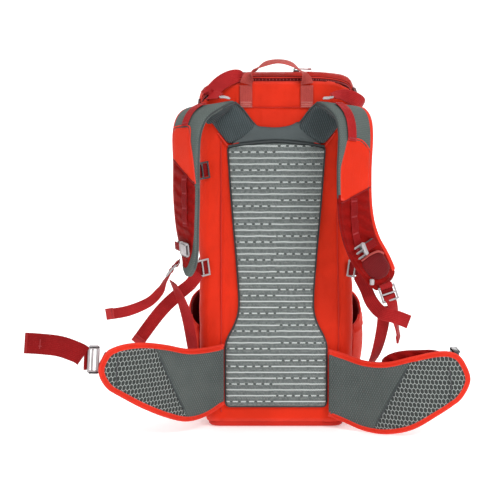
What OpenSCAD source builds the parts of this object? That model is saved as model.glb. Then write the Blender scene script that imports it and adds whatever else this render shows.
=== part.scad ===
// Hiking daypack, harness side towards -Y, standing on its base at Z = 0.
// Units are millimetres.

/* [Bag] */
// Half of the bag's width at mid height
half_w = 118; // [114:1:122]
// Y of the flat back wall's outer face
back_y = -92; // [-94:1:-90]
// How far the front bulges beyond its nominal depth
belly = 0; // [-4:1:4]
// Thickness of the sewn fabric walls with their foam
wall_t = 3.5; // [2.5:0.5:4]
// Radius of the corners between back wall and sides
back_r = 18; // [12:1:22]
// Radius of the corners between sides and front
front_r = 52; // [40:1:56]

/* [Back system] */
// Thickness of the ventilated back panel
mesh_t = 8.5; // [6:1:10]
// Thickness of the plastic frame sheet
sheet_t = 1; // [1:0.5:2]
// Diameter of the aluminium frame rod
rod_d = 3.8; // [3:0.2:4]

/* [Harness] */
// Width of a shoulder strap
strap_w = 60; // [54:1:62]
// Thickness of a shoulder strap's foam
strap_t = 12; // [9:1:13]
// Thickness of the hip belt wings
wing_t = 12; // [9:1:13]

/* [Webbing and buckles] */
// Width of the narrow webbing
web_w = 20; // [16:1:21]
// Width of the hip belt webbing
belt_w = 30; // [26:1:34]
// Thickness of webbing
web_t = 1.8; // [1.4:0.2:2]
// Thickness of a ladder lock frame
lock_t = 4; // [3:0.5:4.5]

/* [Hidden] */

ORANGE = [0.89, 0.16, 0.07];
RED = [0.60, 0.06, 0.06];
WEB = [0.62, 0.13, 0.15];
GREY = [0.38, 0.41, 0.40];
PLASTIC = [0.66, 0.68, 0.68];
DARK = [0.16, 0.16, 0.17];

// ---------- vectors, curves and closed meshes ----------
function unit(v) = v / max(norm(v), 1e-9);
function head3(v) = [v[0], v[1], v[2]];
function spline4(a, b, c, d, t) = 0.5 * (2 * b + (c - a) * t + (2 * a - 5 * b + 4 * c - d) * t * t + (3 * b - a - 3 * c + d) * t * t * t);
// A smooth curve through the rows of P, with k steps between two rows. A row may hold any number of values.
function smooth(P, k) = let (n = len(P)) [for (i = [0 : n - 2]) for (j = [0 : k - 1])
  spline4(P[max(i - 1, 0)], P[i], P[i + 1], P[min(i + 2, n - 1)], j / k), P[n - 1]];

// Closed mesh of triangles, turned the right way out.
module closed(pts, tris) {
  v = [for (t = tris) 1] * [for (t = tris) pts[t[0]] * cross(pts[t[1]], pts[t[2]])];
  polyhedron(points = pts, faces = v > 0 ? [for (t = tris) [t[2], t[1], t[0]]] : tris, convexity = 8);
}
// Solid through rings of n points each; the two end rings are closed by fans, so they are convex.
module skin(rings) {
  n = len(rings[0]);
  m = len(rings);
  closed([for (r = rings) for (p = r) p], concat(
    [for (i = [1 : n - 2]) [0, i, i + 1]],
    [for (j = [0 : m - 2]) for (i = [0 : n - 1]) for (s = [0, 1])
      s == 0 ? [j * n + i, (j + 1) * n + i, (j + 1) * n + (i + 1) % n] : [j * n + i, (j + 1) * n + (i + 1) % n, j * n + (i + 1) % n]],
    [for (i = [1 : n - 2]) [(m - 1) * n, (m - 1) * n + i + 1, (m - 1) * n + i]]));
}
// Thin wall between two grids of points of the same size.
module wall(A, B) {
  m = len(A);
  n = len(A[0]);
  o = m * n;
  closed(concat([for (r = A) for (p = r) p], [for (r = B) for (p = r) p]), concat(
    [for (j = [0 : m - 2]) for (i = [0 : n - 2]) for (s = [0, 1])
      s == 0 ? [j * n + i, (j + 1) * n + i, (j + 1) * n + i + 1] : [j * n + i, (j + 1) * n + i + 1, j * n + i + 1]],
    [for (j = [0 : m - 2]) for (i = [0 : n - 2]) for (s = [0, 1])
      s == 0 ? [o + j * n + i, o + (j + 1) * n + i + 1, o + (j + 1) * n + i] : [o + j * n + i, o + j * n + i + 1, o + (j + 1) * n + i + 1]],
    [for (j = [0 : m - 2]) for (e = [0, n - 1]) for (s = [0, 1]) let (a = j * n + e, b = (j + 1) * n + e, f = e == 0)
      s == 0 ? (f ? [a, o + a, o + b] : [a, o + b, o + a]) : (f ? [a, o + b, b] : [a, b, o + b])],
    [for (i = [0 : n - 2]) for (e = [0, m - 1]) for (s = [0, 1]) let (a = e * n + i, b = e * n + i + 1, f = e == 0)
      s == 0 ? (f ? [a, o + b, o + a] : [a, o + a, o + b]) : (f ? [a, b, o + b] : [a, o + b, b])]));
}
// Rings along rows of [x, y, z, wx, wy, wz, width, thickness]; the w vector points across the strip.
function strip_rings(R, fat) = let (m = len(R)) [for (i = [0 : m - 1]) let (
    c = head3(R[i]),
    t = unit(head3(R[min(i + 1, m - 1)]) - head3(R[max(i - 1, 0)])),
    w0 = [R[i][3], R[i][4], R[i][5]],
    w = unit(w0 - (w0 * t) * t),
    n = cross(w, t),
    a = R[i][6] / 2, b = R[i][7] / 2, e = fat ? min(a, b) * 0.6 : 0)
  fat ? [c - w * (a - e) - n * b, c + w * (a - e) - n * b, c + w * a - n * (b - e), c + w * a + n * (b - e),
         c + w * (a - e) + n * b, c - w * (a - e) + n * b, c - w * a + n * (b - e), c - w * a - n * (b - e)]
      : [c - w * a - n * b, c + w * a - n * b, c + w * a + n * b, c - w * a + n * b]];
module strip(P, k = 4, fat = false) { skin(strip_rings(smooth(P, k), fat)); }
function flipx(P) = [for (p = P) len(p) > 3 ? [-p[0], p[1], p[2], -p[3], p[4], p[5], p[6], p[7]] : [-p[0], p[1], p[2]]];

// ---------- the bag's own form ----------
hw_at = function (z) half_w + lookup(z, [[0, -16], [12, -9], [40, -4], [120, 0], [300, 0], [430, 0], [490, 1], [514, 1], [531, -4]]);
front_at = function (z) belly + lookup(z, [[0, 82], [12, 90], [40, 97], [120, 102], [220, 101], [440, 84], [485, 72], [512, 54], [531, 30]]);
back_at = function (z) lookup(z, [[0, back_y + 1], [34, back_y]]);
// Point of the bag's outline at height z on the right side: part 0 is the corner at the back, part 1 the one at the front.
function corner(z, part, a, in) = let (w = hw_at(z), r = part == 0 ? back_r : front_r,
    cy = part == 0 ? back_at(z) + r : front_at(z) - r)
  [w - r + (r - in) * cos(a), cy + (r - in) * sin(a), z];
SIDE_Z = [10, 16, 40, 120, 210, 300, 380, 440, 485, 511];
function side_row(z, in) = concat([for (a = [-90, -60, -30, 0]) corner(z, 0, a, in)], [for (a = [0, 22, 45]) corner(z - (z > 500 ? a / 8 : 0), 1, a, in)]);
module side_wall() {
  wall([for (z = SIDE_Z) side_row(z, 0)], [for (z = SIDE_Z) side_row(z, wall_t)]);
}
function front_row(z, in) = concat([for (a = [46.5, 60, 75, 90]) corner(z, 1, a, in)], [for (a = [90, 75, 60, 46.5]) let (p = corner(z, 1, a, in)) [-p[0], p[1], p[2]]]);
FLAP_Z = 208;

module base_panel() color(ORANGE) linear_extrude(10)
  polygon(concat([for (a = [-90 : 30 : 0]) let (p = corner(3, 0, a, 0)) [p[0], p[1]]], [for (a = [0 : 15 : 90]) let (p = corner(3, 1, a, 0)) [p[0], p[1]]],
    [for (a = [90 : -15 : 0]) let (p = corner(3, 1, a, 0)) [-p[0], p[1]]], [for (a = [0 : -30 : -90]) let (p = corner(3, 0, a, 0)) [-p[0], p[1]]]));

BACK_EDGE = [for (p = [[-11, 10.2], [-9, 16], [-4.6, 40], [-0.6, 120], [-0.6, 508], [-8, 522], [-22, 528], [-60, 530]]) [half_w - back_r + p[0], p[1]]];
module back_wall() color(ORANGE) translate([0, back_y + wall_t, 0]) rotate([90, 0, 0]) linear_extrude(wall_t)
  polygon(concat([[0, 10.2]], [for (p = BACK_EDGE) p], [for (i = [len(BACK_EDGE) - 1 : -1 : 0]) [-BACK_EDGE[i][0], BACK_EDGE[i][1]]]));

module front_lower_panel() color(ORANGE) {
  Z = [10, 16, 40, 90, 150, FLAP_Z - 1.5];
  wall([for (z = Z) front_row(z, 0)], [for (z = Z) front_row(z, wall_t)]);
}

// Rows of the opening front: up the front face, then back over the top.
TOP = [[44, 523, 0.985, 8], [18, 533, 1, 18], [-12, 540, 1, 25], [-44, 544, 1, 29], [-70, 543, 0.995, 28], [back_y + 5, 534, 0.97, 19]];
function flap_rows(in) = concat([for (z = [FLAP_Z, 250, 300, 360, 440, 485, 508]) front_row(z, in)],
  [for (t = TOP) let (w = half_w * t[2] - in * 0.5, z = t[1] - in, y = t[0] - (t[0] > 30 ? in * 0.8 : t[0] > 0 ? in * 0.3 : 0))
    [for (q = [[1, 1], [0.97, 0.42], [0.86, 0.1], [0.45, 0], [-0.45, 0], [-0.86, 0.1], [-0.97, 0.42], [-1, 1]]) [w * q[0], y, z - t[3] * q[1]]]]);
module main_flap() color(ORANGE) wall(flap_rows(0), flap_rows(wall_t));

// Zipper tapes run along the split between the sides and the opening front.
function edge_pt(z, a, out) = corner(z, 1, a, -out);
module zipper_track_body() color(DARK) for (m = [0, 1]) mirror([m, 0, 0])
  wall([for (z = [212, 300, 380, 440, 485]) [edge_pt(z, 33, 0.3), edge_pt(z, 44.5, 0.3)]], [for (z = [212, 300, 380, 440, 485]) [edge_pt(z, 33, 1.5), edge_pt(z, 44.5, 1.5)]]);
module zipper_track_flap() color(DARK) for (m = [0, 1]) mirror([m, 0, 0])
  wall([for (z = [212, 300, 380, 440, 485]) [edge_pt(z, 47, 0.3), edge_pt(z, 58, 0.3)]], [for (z = [212, 300, 380, 440, 485]) [edge_pt(z, 47, 1.5), edge_pt(z, 58, 1.5)]]);

// ---------- frame and inner pieces ----------
module framesheet() color(DARK) translate([0, back_y + 9.5, 0]) rotate([90, 0, 0]) linear_extrude(sheet_t)
  polygon([[-84, 24], [84, 24], [92, 60], [92, 440], [70, 492], [-70, 492], [-92, 440], [-92, 60]]);
module frame_hoop() color("silver") {
  y = back_y + wall_t + 0.3 + rod_d / 2;
  for (s = [-1, 1]) translate([s * 80, y, 40]) cylinder(d = rod_d, h = 410, $fn = 24);
  translate([0, y, 450]) rotate([90, 0, 0]) {
    for (s = [0, 1]) mirror([s, 0, 0]) translate([50, 0, 0]) rotate_extrude(angle = 90, $fn = 48) translate([30, 0]) circle(d = rod_d, $fn = 24);
  }
  translate([-50, y, 480]) rotate([0, 90, 0]) cylinder(d = rod_d, h = 100, $fn = 24);
}
module hydration_sleeve() color(GREY) translate([0, back_y + 18.5, 0]) rotate([90, 0, 0]) linear_extrude(1.5)
  polygon([[-72, 30], [72, 30], [76, 50], [76, 400], [-76, 400], [-76, 50]]);

// ---------- back panel and yoke ----------
module back_mesh_panel() color(GREY) translate([0, back_y - 0.3, 0]) rotate([90, 0, 0]) linear_extrude(mesh_t)
  polygon([[-76, 32], [76, 32], [78, 40], [78, 128], [74, 140], [63, 160], [57, 180], [57, 205], [61, 262], [68, 342], [74, 430],
    [50, 434], [0, 437], [-50, 434], [-74, 430], [-68, 342], [-61, 262], [-57, 205], [-57, 180], [-63, 160], [-74, 140], [-78, 128], [-78, 40]]);
module shoulder_yoke() color(GREY) translate([0, back_y - 0.3, 0]) rotate([90, 0, 0]) linear_extrude(mesh_t)
  polygon([[-73, 430.8], [-50, 434.8], [0, 437.8], [50, 434.8], [73, 430.8], [86, 452], [97, 470], [90, 484], [62, 488], [50, 484],
    [34, 468], [18, 461], [0, 459], [-18, 461], [-34, 468], [-50, 484], [-62, 488], [-90, 484], [-97, 470], [-86, 452]]);

// ---------- side pockets ----------
POCKET = [[30, 0.6, 38], [48, 7, 46], [80, 15, 52], [120, 19, 55], [160, 18, 57], [196, 15, 58]];
function pocket_row(p, in, s) = let (w = hw_at(p[0]) + 0.4)
  [for (q = [[-1, 0], [-0.86, 0.55], [-0.45, 0.95], [0, 1], [0.45, 0.95], [0.86, 0.55], [1, 0]])
    [w + max(p[1] * q[1] - in, 0) + (in > 0 ? 0 : 0.9), q[0] * (p[2] - in * 0.8) - 2,
      p[0] + (p[0] > 150 ? (q[0] - 1) * 22 * (p[0] - 150) / 46 : 0) + (p[0] < 35 ? in : 0)]];
module side_pocket() wall([for (p = POCKET) pocket_row(p, 0, 1)], [for (p = POCKET) pocket_row(p, 2.2, 1)]);

// ---------- webbing ----------
// Compression straps hug the side wall; each ends at the harness edge of the bag, where a ladder lock hangs.
module compression(z) {
  R = concat([for (a = [40, 32, 20, 4]) corner(z, 1, a, a > 30 ? -2.8 : -1.8)], [for (y = [20, -20, -60]) [hw_at(z) + 1.8, y, z]], [for (a = [-6, -34, -58]) corner(z, 0, a, -1.8)]);
  skin(strip_rings([for (p = R) [p[0], p[1], p[2], 0, 0, 1, web_w, web_t]], false));
}
module compression_webbing_right() color(WEB) { compression(244); compression(394); }
module compression_webbing_left() color(WEB) mirror([1, 0, 0]) { compression(244); compression(394); }

// Harness webbing from the bag's lower corner up to the strap's ladder lock.
HARNESS_R = [[121.5, -66, 46, 0, 1, 0.3, web_w, web_t], [131, -82, 72, 0.3, 1, 0.4, web_w, web_t], [150, -108, 112, 0.8, 0.6, 0.2, web_w, web_t],
  [159, -130, 156, 1, 0.4, 0, web_w, web_t], [161, -147, 194, 1, 0.3, 0, web_w, web_t]];
HARNESS_L = [[121.5, -66, 46, 0, 1, 0.3, web_w, web_t], [124, -78, 80, 0.3, 1, 0.4, web_w, web_t], [128, -92, 120, 0.8, 0.6, 0.2, web_w, web_t],
  [134, -108, 165, 0.9, 0.5, 0, web_w, web_t], [143, -126, 200, 0.7, 0.7, 0, web_w, web_t], [155, -144, 230, 0.4, 0.9, 0, web_w, web_t]];
module harness_webbing_right() color(WEB) strip(HARNESS_R, 3);
module harness_webbing_left() color(WEB) mirror([1, 0, 0]) strip(HARNESS_L, 3);

// Load lifters from the bag's top to the buckles on the straps.
LIFT_R = [[121.5, -76, 478, 0, 1, 0.5, web_w, web_t], [130, -92, 490, 0.2, 0.9, 0.6, web_w, web_t], [132, -106, 500, 0.6, 0.3, 0.8, web_w, web_t],
  [122, -116, 508, 0.4, 0.2, 0.9, web_w, web_t], [105, -124, 510, 0, 0.4, 0.9, web_w, web_t], [92, -130, 508, 0, 0.75, 0.65, web_w, web_t]];
LIFT_L = [[64, -95.5, 530, 0.45, 0, 0.9, web_w, web_t], [72, -100, 535, 0.5, 0.2, 0.9, web_w, web_t], [86, -110, 531, 0.6, 0.4, 0.8, web_w, web_t],
  [97, -120, 518, 0.7, 0.6, 0.5, web_w, web_t], [101, -126, 508, 0.6, 0.7, 0.35, web_w, web_t]];
module load_lifter_right() color(WEB) strip(LIFT_R, 3);
module load_lifter_left() color(WEB) mirror([1, 0, 0]) strip(LIFT_L, 3);

// Haul loop: two sewn tabs on the back wall, and the loop that folds.
module haul_loop_tabs() color(WEB) for (s = [-1, 1])
  translate([s * 46 - 9.5, back_y - 0.2 - web_t, 491]) cube([19, web_t, 32]);
LOOP = [[-46, -94, 526, 1, 0, 0.1, 19, web_t], [-43, -96, 534, 1, -0.2, 0.5, 18, web_t], [-34, -101, 545, 0.5, -0.9, 0.6, 18, web_t], [-18, -105, 555, 0.2, -1, -0.3, 18, web_t],
  [2, -106, 559, 0, -1, -0.35, 18, web_t], [22, -105, 555, -0.2, -1, -0.3, 18, web_t], [37, -101, 544, -0.5, -0.9, 0.4, 18, web_t], [44, -96, 534, -0.8, -0.6, 0.2, 18, web_t], [46, -94, 526, -1, 0, 0.1, 19, web_t]];
module haul_loop() color(WEB) skin(strip_rings([for (r = smooth(LOOP, 3)) r], false));

module axe_loops() color(WEB) for (s = [-1, 1])
  skin(strip_rings([for (z = [24, 40, 60, 80, 96]) [s * 44, front_at(z) + 1.8, z, 1, 0, 0, 16, web_t]], false));

// ---------- front pocket ----------
function fp_row(z, out, in) = let (y = front_at(z)) [for (q = [[-58, 0], [-50, 0.7], [-28, 1], [0, 1.05], [28, 1], [50, 0.7], [58, 0]])
  [q[0] - sign(q[0]) * in, y + 0.5 + max(out * q[1] - in, 0) + (in > 0 ? 0 : 0.9), z + (z < 240 ? in : 0)]];
FPZ = [[222, 0.8], [240, 9], [280, 14], [340, 14], [400, 12.5]];
module front_stretch_pocket() color(RED) wall([for (p = FPZ) fp_row(p[0], p[1], 0)], [for (p = FPZ) fp_row(p[0], p[1], 2)]);

// ---------- hip belt ----------
// Each row of a wing: plan position x, y, then the heights of the top and bottom edges.
WING_R = [[80.5, -106, 121, 22], [104, -115, 115, 14], [134, -130, 107, 4], [166, -148, 108, 3], [202, -164, 119, 13], [240, -172, 128, 37], [264, -174, 125, 54], [284, -175, 108, 70]];
WING_L = [[80.5, -107, 129, 40], [108, -124, 126, 25], [136, -147, 128, 22], [166, -173, 138, 34], [197, -198, 145, 52], [223, -216, 145, 70], [243, -227, 134, 90], [255, -233, 118, 104]];
function wing_rings(W) = let (S = smooth(W, 2), m = len(S), b = wing_t / 2, e = b * 0.6) [for (i = [0 : m - 1])
  let (t = unit([S[min(i + 1, m - 1)][0] - S[max(i - 1, 0)][0], S[min(i + 1, m - 1)][1] - S[max(i - 1, 0)][1]]), n = [-t[1], t[0]])
  [for (q = [[1, -b, e], [0, -b, e], [0, -b + e, 0], [0, b - e, 0], [0, b, e], [1, b, e], [1, b - e, 0], [1, -b + e, 0]])
    [S[i][0] + n[0] * q[1], S[i][1] + n[1] * q[1], q[0] > 0 ? S[i][3] + q[2] : S[i][2] - q[2]]]];
module hip_wing_right() color(GREY) skin(wing_rings(WING_R));
module hip_wing_left() color(GREY) mirror([1, 0, 0]) skin(wing_rings(WING_L));
// Zipped pocket on the outer face of a wing.
function along(W, s) = let (i = min(floor(s), len(W) - 2), f = s - i) W[i] * (1 - f) + W[i + 1] * f;
function on_curve(P, s) = along(smooth(P, 2), 2 * s);
function hip_pocket_row(W, s, d, h, c) = let (p = on_curve(W, s), q = on_curve(W, s + 0.05), t = unit([q[0] - p[0], q[1] - p[1]]), n = [-t[1], t[0]],
    o = wing_t / 2 + 2.1 + d / 2) [p[0] + n[0] * o, p[1] + n[1] * o, c, 0, 0, 1, h, d];
HPR = [[2.75, 5, 76, 70], [3.05, 13, 92, 73], [3.6, 16, 98, 76], [4.2, 16, 94, 78], [4.7, 12, 84, 80], [4.95, 5, 70, 80]];
HPL = [[2.6, 5, 60, 84], [2.9, 13, 72, 88], [3.5, 16, 78, 92], [4.1, 16, 76, 98], [4.6, 12, 68, 102], [4.85, 5, 56, 104]];
module hip_pocket_right() color(RED) skin(strip_rings([for (s = HPR) hip_pocket_row(WING_R, s[0], s[1], s[2], s[3])], true));
module hip_pocket_left() color(RED) mirror([1, 0, 0]) skin(strip_rings([for (s = HPL) hip_pocket_row(WING_L, s[0], s[1], s[2], s[3])], true));

// ---------- shoulder straps ----------
STRAP_R = [[81, -108, 479, -0.8, 0.1, 0.58, 52, 10], [87, -125, 487, -0.86, -0.12, 0.24, 56, 12], [98, -147, 488, -0.85, -0.33, 0.08, strap_w, strap_t], [109, -168, 476, -0.83, -0.5, 0, strap_w, strap_t],
  [113, -180, 450, -0.82, -0.56, 0, strap_w, strap_t], [111, -186, 400, -0.82, -0.57, 0, strap_w, strap_t], [112, -186, 350, -0.82, -0.57, 0, strap_w, strap_t], [117, -183, 314, -0.83, -0.55, -0.1, strap_w, strap_t],
  [127, -177, 285, -0.82, -0.48, -0.3, 58, strap_t], [141, -167, 262, -0.75, -0.42, -0.5, 56, strap_t], [153, -157, 244, -0.72, -0.36, -0.55, 50, 11], [164, -149, 229, -0.72, -0.3, -0.6, 38, 9]];
STRAP_L = [[81, -108, 479, -0.8, 0.1, 0.58, 52, 10], [90, -125, 487, -0.84, -0.18, 0.24, 56, 12], [107, -147, 487, -0.78, -0.45, 0.06, strap_w, strap_t], [123, -167, 475, -0.7, -0.64, 0, strap_w, strap_t],
  [131, -180, 450, -0.64, -0.74, 0, strap_w, strap_t], [132, -187, 410, -0.6, -0.8, 0, strap_w, strap_t], [132, -188, 360, -0.6, -0.8, 0, strap_w, strap_t], [131, -186, 315, -0.55, -0.83, 0, 56, strap_t],
  [129, -181, 282, -0.45, -0.89, 0, 52, strap_t], [130, -174, 260, -0.38, -0.92, 0, 42, 12], [134, -168, 246, -0.38, -0.92, 0, 26, 10]];
module shoulder_strap_right() color(GREY) strip(STRAP_R, 2, true);
module shoulder_strap_left() color(GREY) mirror([1, 0, 0]) strip(STRAP_L, 2, true);
// A frame on the strap: centre, along, across and outward vectors at a row position.
function strap_at(P, s) = let (p = on_curve(P, s), a = on_curve(P, max(s - 0.25, 0)), b = on_curve(P, s + 0.25), t = unit(head3(b) - head3(a)),
    w0 = [p[3], p[4], p[5]], w = unit(w0 - (w0 * t) * t)) [head3(p), t, w, cross(w, t), p[7]];
function rail_row(P, s, off, w, t) = let (f = strap_at(P, s), c = f[0] + f[3] * (f[4] / 2 + off + 0.1 + t / 2)) [c[0], c[1], c[2], f[2][0], f[2][1], f[2][2], w, t];
module rail(P) skin(strip_rings([for (s = [2.6, 3, 3.5, 4, 4.5, 5, 5.5, 6, 6.5, 7, 7.5, 8, 8.3]) rail_row(P, s, 0.4, 12, 1.4)], false));
module sternum_rail_right() color(WEB) rail(STRAP_R);
module sternum_rail_left() color(WEB) mirror([1, 0, 0]) rail(STRAP_L);
module strap_pocket_right() color(DARK) skin(strip_rings([for (q = [[8.5, 2], [8.9, 5], [9.4, 6], [9.9, 5], [10.3, 2]]) rail_row(STRAP_R, q[0], 0.5, 38, q[1])], true));

// Places a flat piece drawn in XY, its thickness along Z, on a frame of [centre, x direction, y direction].
module put(c, x, y) { z = cross(x, y); multmatrix([[x[0], y[0], z[0], c[0]], [x[1], y[1], z[1], c[1]], [x[2], y[2], z[2], c[2]], [0, 0, 0, 1]]) children(); }
// Rounded rectangle outline.
function rr(w, h, r) = [for (q = [[1, 1, 0], [-1, 1, 90], [-1, -1, 180], [1, -1, 270]]) for (a = [0, 30, 60, 90]) [q[0] * (w / 2 - r) + r * cos(q[2] + a), q[1] * (h / 2 - r) + r * sin(q[2] + a)]];
// Ladder lock: frame with two slots, centred, width across X.
module ladder_lock(w, h = 24) difference() {
  translate([0, 0, -lock_t / 2]) linear_extrude(lock_t) polygon(rr(w + 7, h, 3));
  for (s = [-1, 1]) translate([-w / 2 - 0.5, s * h * 0.235 - h * 0.13, -lock_t]) cube([w + 1, h * 0.26, 2 * lock_t]);
}
// ---------- buckles on the straps ----------
LIFT_X = unit([0.1, 1, 0.1]);
module lifter_buckle_right() color(PLASTIC) put([76, -138, 504.5], LIFT_X, unit(cross([0.14, 0.1, -1], LIFT_X))) ladder_lock(14, 15);
module lifter_buckle_left() color(PLASTIC) mirror([1, 0, 0]) put([78, -138, 504.5], LIFT_X, unit(cross([0.14, 0.1, -1], LIFT_X))) ladder_lock(14, 15);

SL = 7.75;
SR = 7.85;
module slider_on(P, s) { f = strap_at(P, s); translate(f[3] * (f[4] / 2 + 2.6 + 2)) put(f[0], f[2], f[1]) difference() { translate([0, 0, -2]) linear_extrude(4) polygon(rr(26, 11, 2.5)); translate([-6.5, -2, -3]) cube([13, 4, 6]); } }
module sternum_slider_right() color(PLASTIC) slider_on(STRAP_R, SR);
module sternum_slider_left() color(PLASTIC) mirror([1, 0, 0]) slider_on(STRAP_L, SL);
// Half of the small side-release buckle with its short webbing, lying across the strap.
module sternum_half(P, s, male) { f = strap_at(P, s); o = f[4] / 2 + 10.4; put(f[0] + f[3] * o, f[2], f[1]) translate([4, 0, 0]) {
    translate([-16, -6, -0.7]) cube([18, 12, 1.4]);
    translate([2.3, -10, -3.2]) cube([6, 20, 6.4]);
    if (male) { for (q = [-8.5, 0, 8.5]) translate([8.3, q - 1.4, -1.8]) cube([13, 2.8, 3.6]); }
    else difference() { translate([8.3, -10, -3.2]) cube([15, 20, 6.4]); translate([11, -7, -1.8]) cube([20, 14, 3.6]); }
  } }
module sternum_buckle_right() color(PLASTIC) sternum_half(STRAP_R, SR, true);
module sternum_buckle_left() color(PLASTIC) mirror([1, 0, 0]) sternum_half(STRAP_L, SL, false);

// Ladder locks at the lower ends of the straps.
LB_R = [[165, -164, 215.5], unit([0.93, 0.15, 0.3]), unit([-0.3, 0.1, 0.93])];
LB_L = [[156, -159, 250], [0, -1, 0], unit([-0.67, 0, 0.74])];
module strap_ladder_right() color(PLASTIC) put(LB_R[0], LB_R[1], unit(LB_R[2] - (LB_R[2] * LB_R[1]) * LB_R[1])) ladder_lock(web_w);
module strap_ladder_left() color(PLASTIC) mirror([1, 0, 0]) put(LB_L[0], LB_L[1], unit(LB_L[2] - (LB_L[2] * LB_L[1]) * LB_L[1])) ladder_lock(web_w);
TAIL_BR = [[171, -164, 200, 0.8, 0.6, 0, 19, web_t], [175, -158, 184, 0.6, 0.8, 0, 19, web_t], [180, -148, 162, 0.3, 0.95, 0.1, 19, web_t], [184, -137, 142, 0.3, 0.95, 0.1, 19, web_t]];
TAIL_BL = [[166, -162, 233, 0.1, 0.9, 0.3, 19, web_t], [174, -166, 218, 0.25, 0.75, 0.6, 18, web_t], [190, -170, 203, 0.3, 0.7, 0.65, 18, web_t], [220, -176, 191, 0.25, 0.6, 0.75, 18, web_t], [252, -180, 186, 0.2, 0.6, 0.8, 18, web_t]];
module strap_tail_right() color(WEB) strip(TAIL_BR, 3);
module strap_tail_left() color(WEB) mirror([1, 0, 0]) strip(TAIL_BL, 3);

// Ladder locks of the compression straps, at the bag's harness edge, with upright bars.
module side_lock(x, z) put([x, back_y - 9, z], unit([0.12, -0.1, 0.99]), unit(cross(cross([0.12, -0.1, 0.99], [0.8, -0.45, 0]), [0.12, -0.1, 0.99]))) ladder_lock(web_w);
module side_ladder_right() color(PLASTIC) side_lock(119, 245);
module side_ladder_left() color(PLASTIC) mirror([1, 0, 0]) side_lock(112, 247);
module upper_ladder_right() color(PLASTIC) side_lock(118, 395);
module upper_ladder_left() color(PLASTIC) mirror([1, 0, 0]) side_lock(112, 395);
TAIL_AR = [[127, -112, 233, 0.55, 0.2, 0.75, 19, web_t], [134, -130, 219, 0.5, 0.4, 0.75, 19, web_t], [141, -158, 202, 0.5, 0.5, 0.7, 20, web_t], [153, -188, 190, 0.5, 0.25, 0.8, 20, web_t], [172, -205, 186, 0.5, 0.15, 0.85, 20, web_t], [191, -209, 179, 0.55, 0, 0.83, 20, web_t]];
TAIL_AL = [[121, -112, 236, 0.8, 0.1, 0.6, 19, web_t], [131, -114, 223, 0.7, 0.2, 0.6, 19, web_t], [150, -111, 207, 0.6, 0.3, 0.7, 20, web_t], [178, -109, 179, 0.68, 0.2, 0.7, 20, web_t], [213, -108, 132, 0.78, 0.2, 0.6, 20, web_t]];
module side_tail_right() color(WEB) strip(TAIL_AR, 3);
module side_tail_left() color(WEB) mirror([1, 0, 0]) strip(TAIL_AL, 3);

// ---------- hip belt buckle ----------
BUCKLE_L = [[269, -222, 126], unit([0.93, -0.36, 0.06]), [0, 0, 1]];
BUCKLE_R = [[268, -160, 109], [0, 1, 0], [0, 0, 1]];
module belt_buckle_male() color(PLASTIC) mirror([1, 0, 0]) put(BUCKLE_L[0], BUCKLE_L[1], unit(BUCKLE_L[2] - (BUCKLE_L[2] * BUCKLE_L[1]) * BUCKLE_L[1])) {
  difference() { translate([-11, -21, -4]) cube([16, 42, 8]); translate([-6, -16, -5]) cube([4, 32, 10]); translate([0, -16, -5]) cube([3, 32, 10]); }
}
module belt_webbing_tail() color(WEB) mirror([1, 0, 0]) strip([[280, -228.8, 132, 0, 0, 1, belt_w, web_t], [288, -232, 138, 0.12, 0, 1, belt_w, web_t], [312, -239, 148, 0.15, 0, 1, belt_w, web_t], [338, -243, 152, 0.15, 0, 1, belt_w, web_t], [362, -246, 154, 0.15, 0, 1, belt_w, web_t]], 3);
module belt_buckle_female() color(PLASTIC) put(BUCKLE_R[0], BUCKLE_R[1], unit(BUCKLE_R[2] - (BUCKLE_R[2] * BUCKLE_R[1]) * BUCKLE_R[1]))
  difference() { translate([0, -20, -5]) cube([44, 40, 10]); translate([12, -16, -3]) cube([40, 32, 6]); translate([4, -16, -8]) cube([4, 32, 16]); }

// ---------- zip sliders with their pulls ----------
module zip_slider() { translate([-3.5, -6, -1.5]) cube([7, 10, 3]); translate([-2, -4, 1.4]) cube([4, 6, 1.8]); translate([-2.2, -26, 1.5]) cube([4.4, 20.5, 2]); }
module main_zip(m) mirror([m, 0, 0]) { p = edge_pt(430, 32, 5.6); q = edge_pt(260, 32, 5.6); y = unit(p - q); n = unit([cos(32), sin(32), 0.08] - ([cos(32), sin(32), 0.08] * y) * y); put(p, cross(y, n), y) zip_slider(); }
module main_zip_slider_right() color(PLASTIC) main_zip(0);
module main_zip_slider_left() color(PLASTIC) main_zip(1);
module top_zip_slider() color(PLASTIC) put([30, -58, 546.6], [0, 1, 0], [-1, 0, 0]) zip_slider();
module hip_zip(W, c) { p = hip_pocket_row(W, 4.1, 16, 1, c); q = hip_pocket_row(W, 3.6, 16, 1, c); x = unit([q[0] - p[0], q[1] - p[1], 0]); n = [x[1], -x[0], 0]; put([p[0], p[1], p[2]] + n * 10.6, cross(x, n), x) zip_slider(); }
module hip_zip_slider_right() color(PLASTIC) hip_zip(WING_R, 102);
module hip_zip_slider_left() color(PLASTIC) mirror([1, 0, 0]) hip_zip(WING_L, 112);

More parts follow.
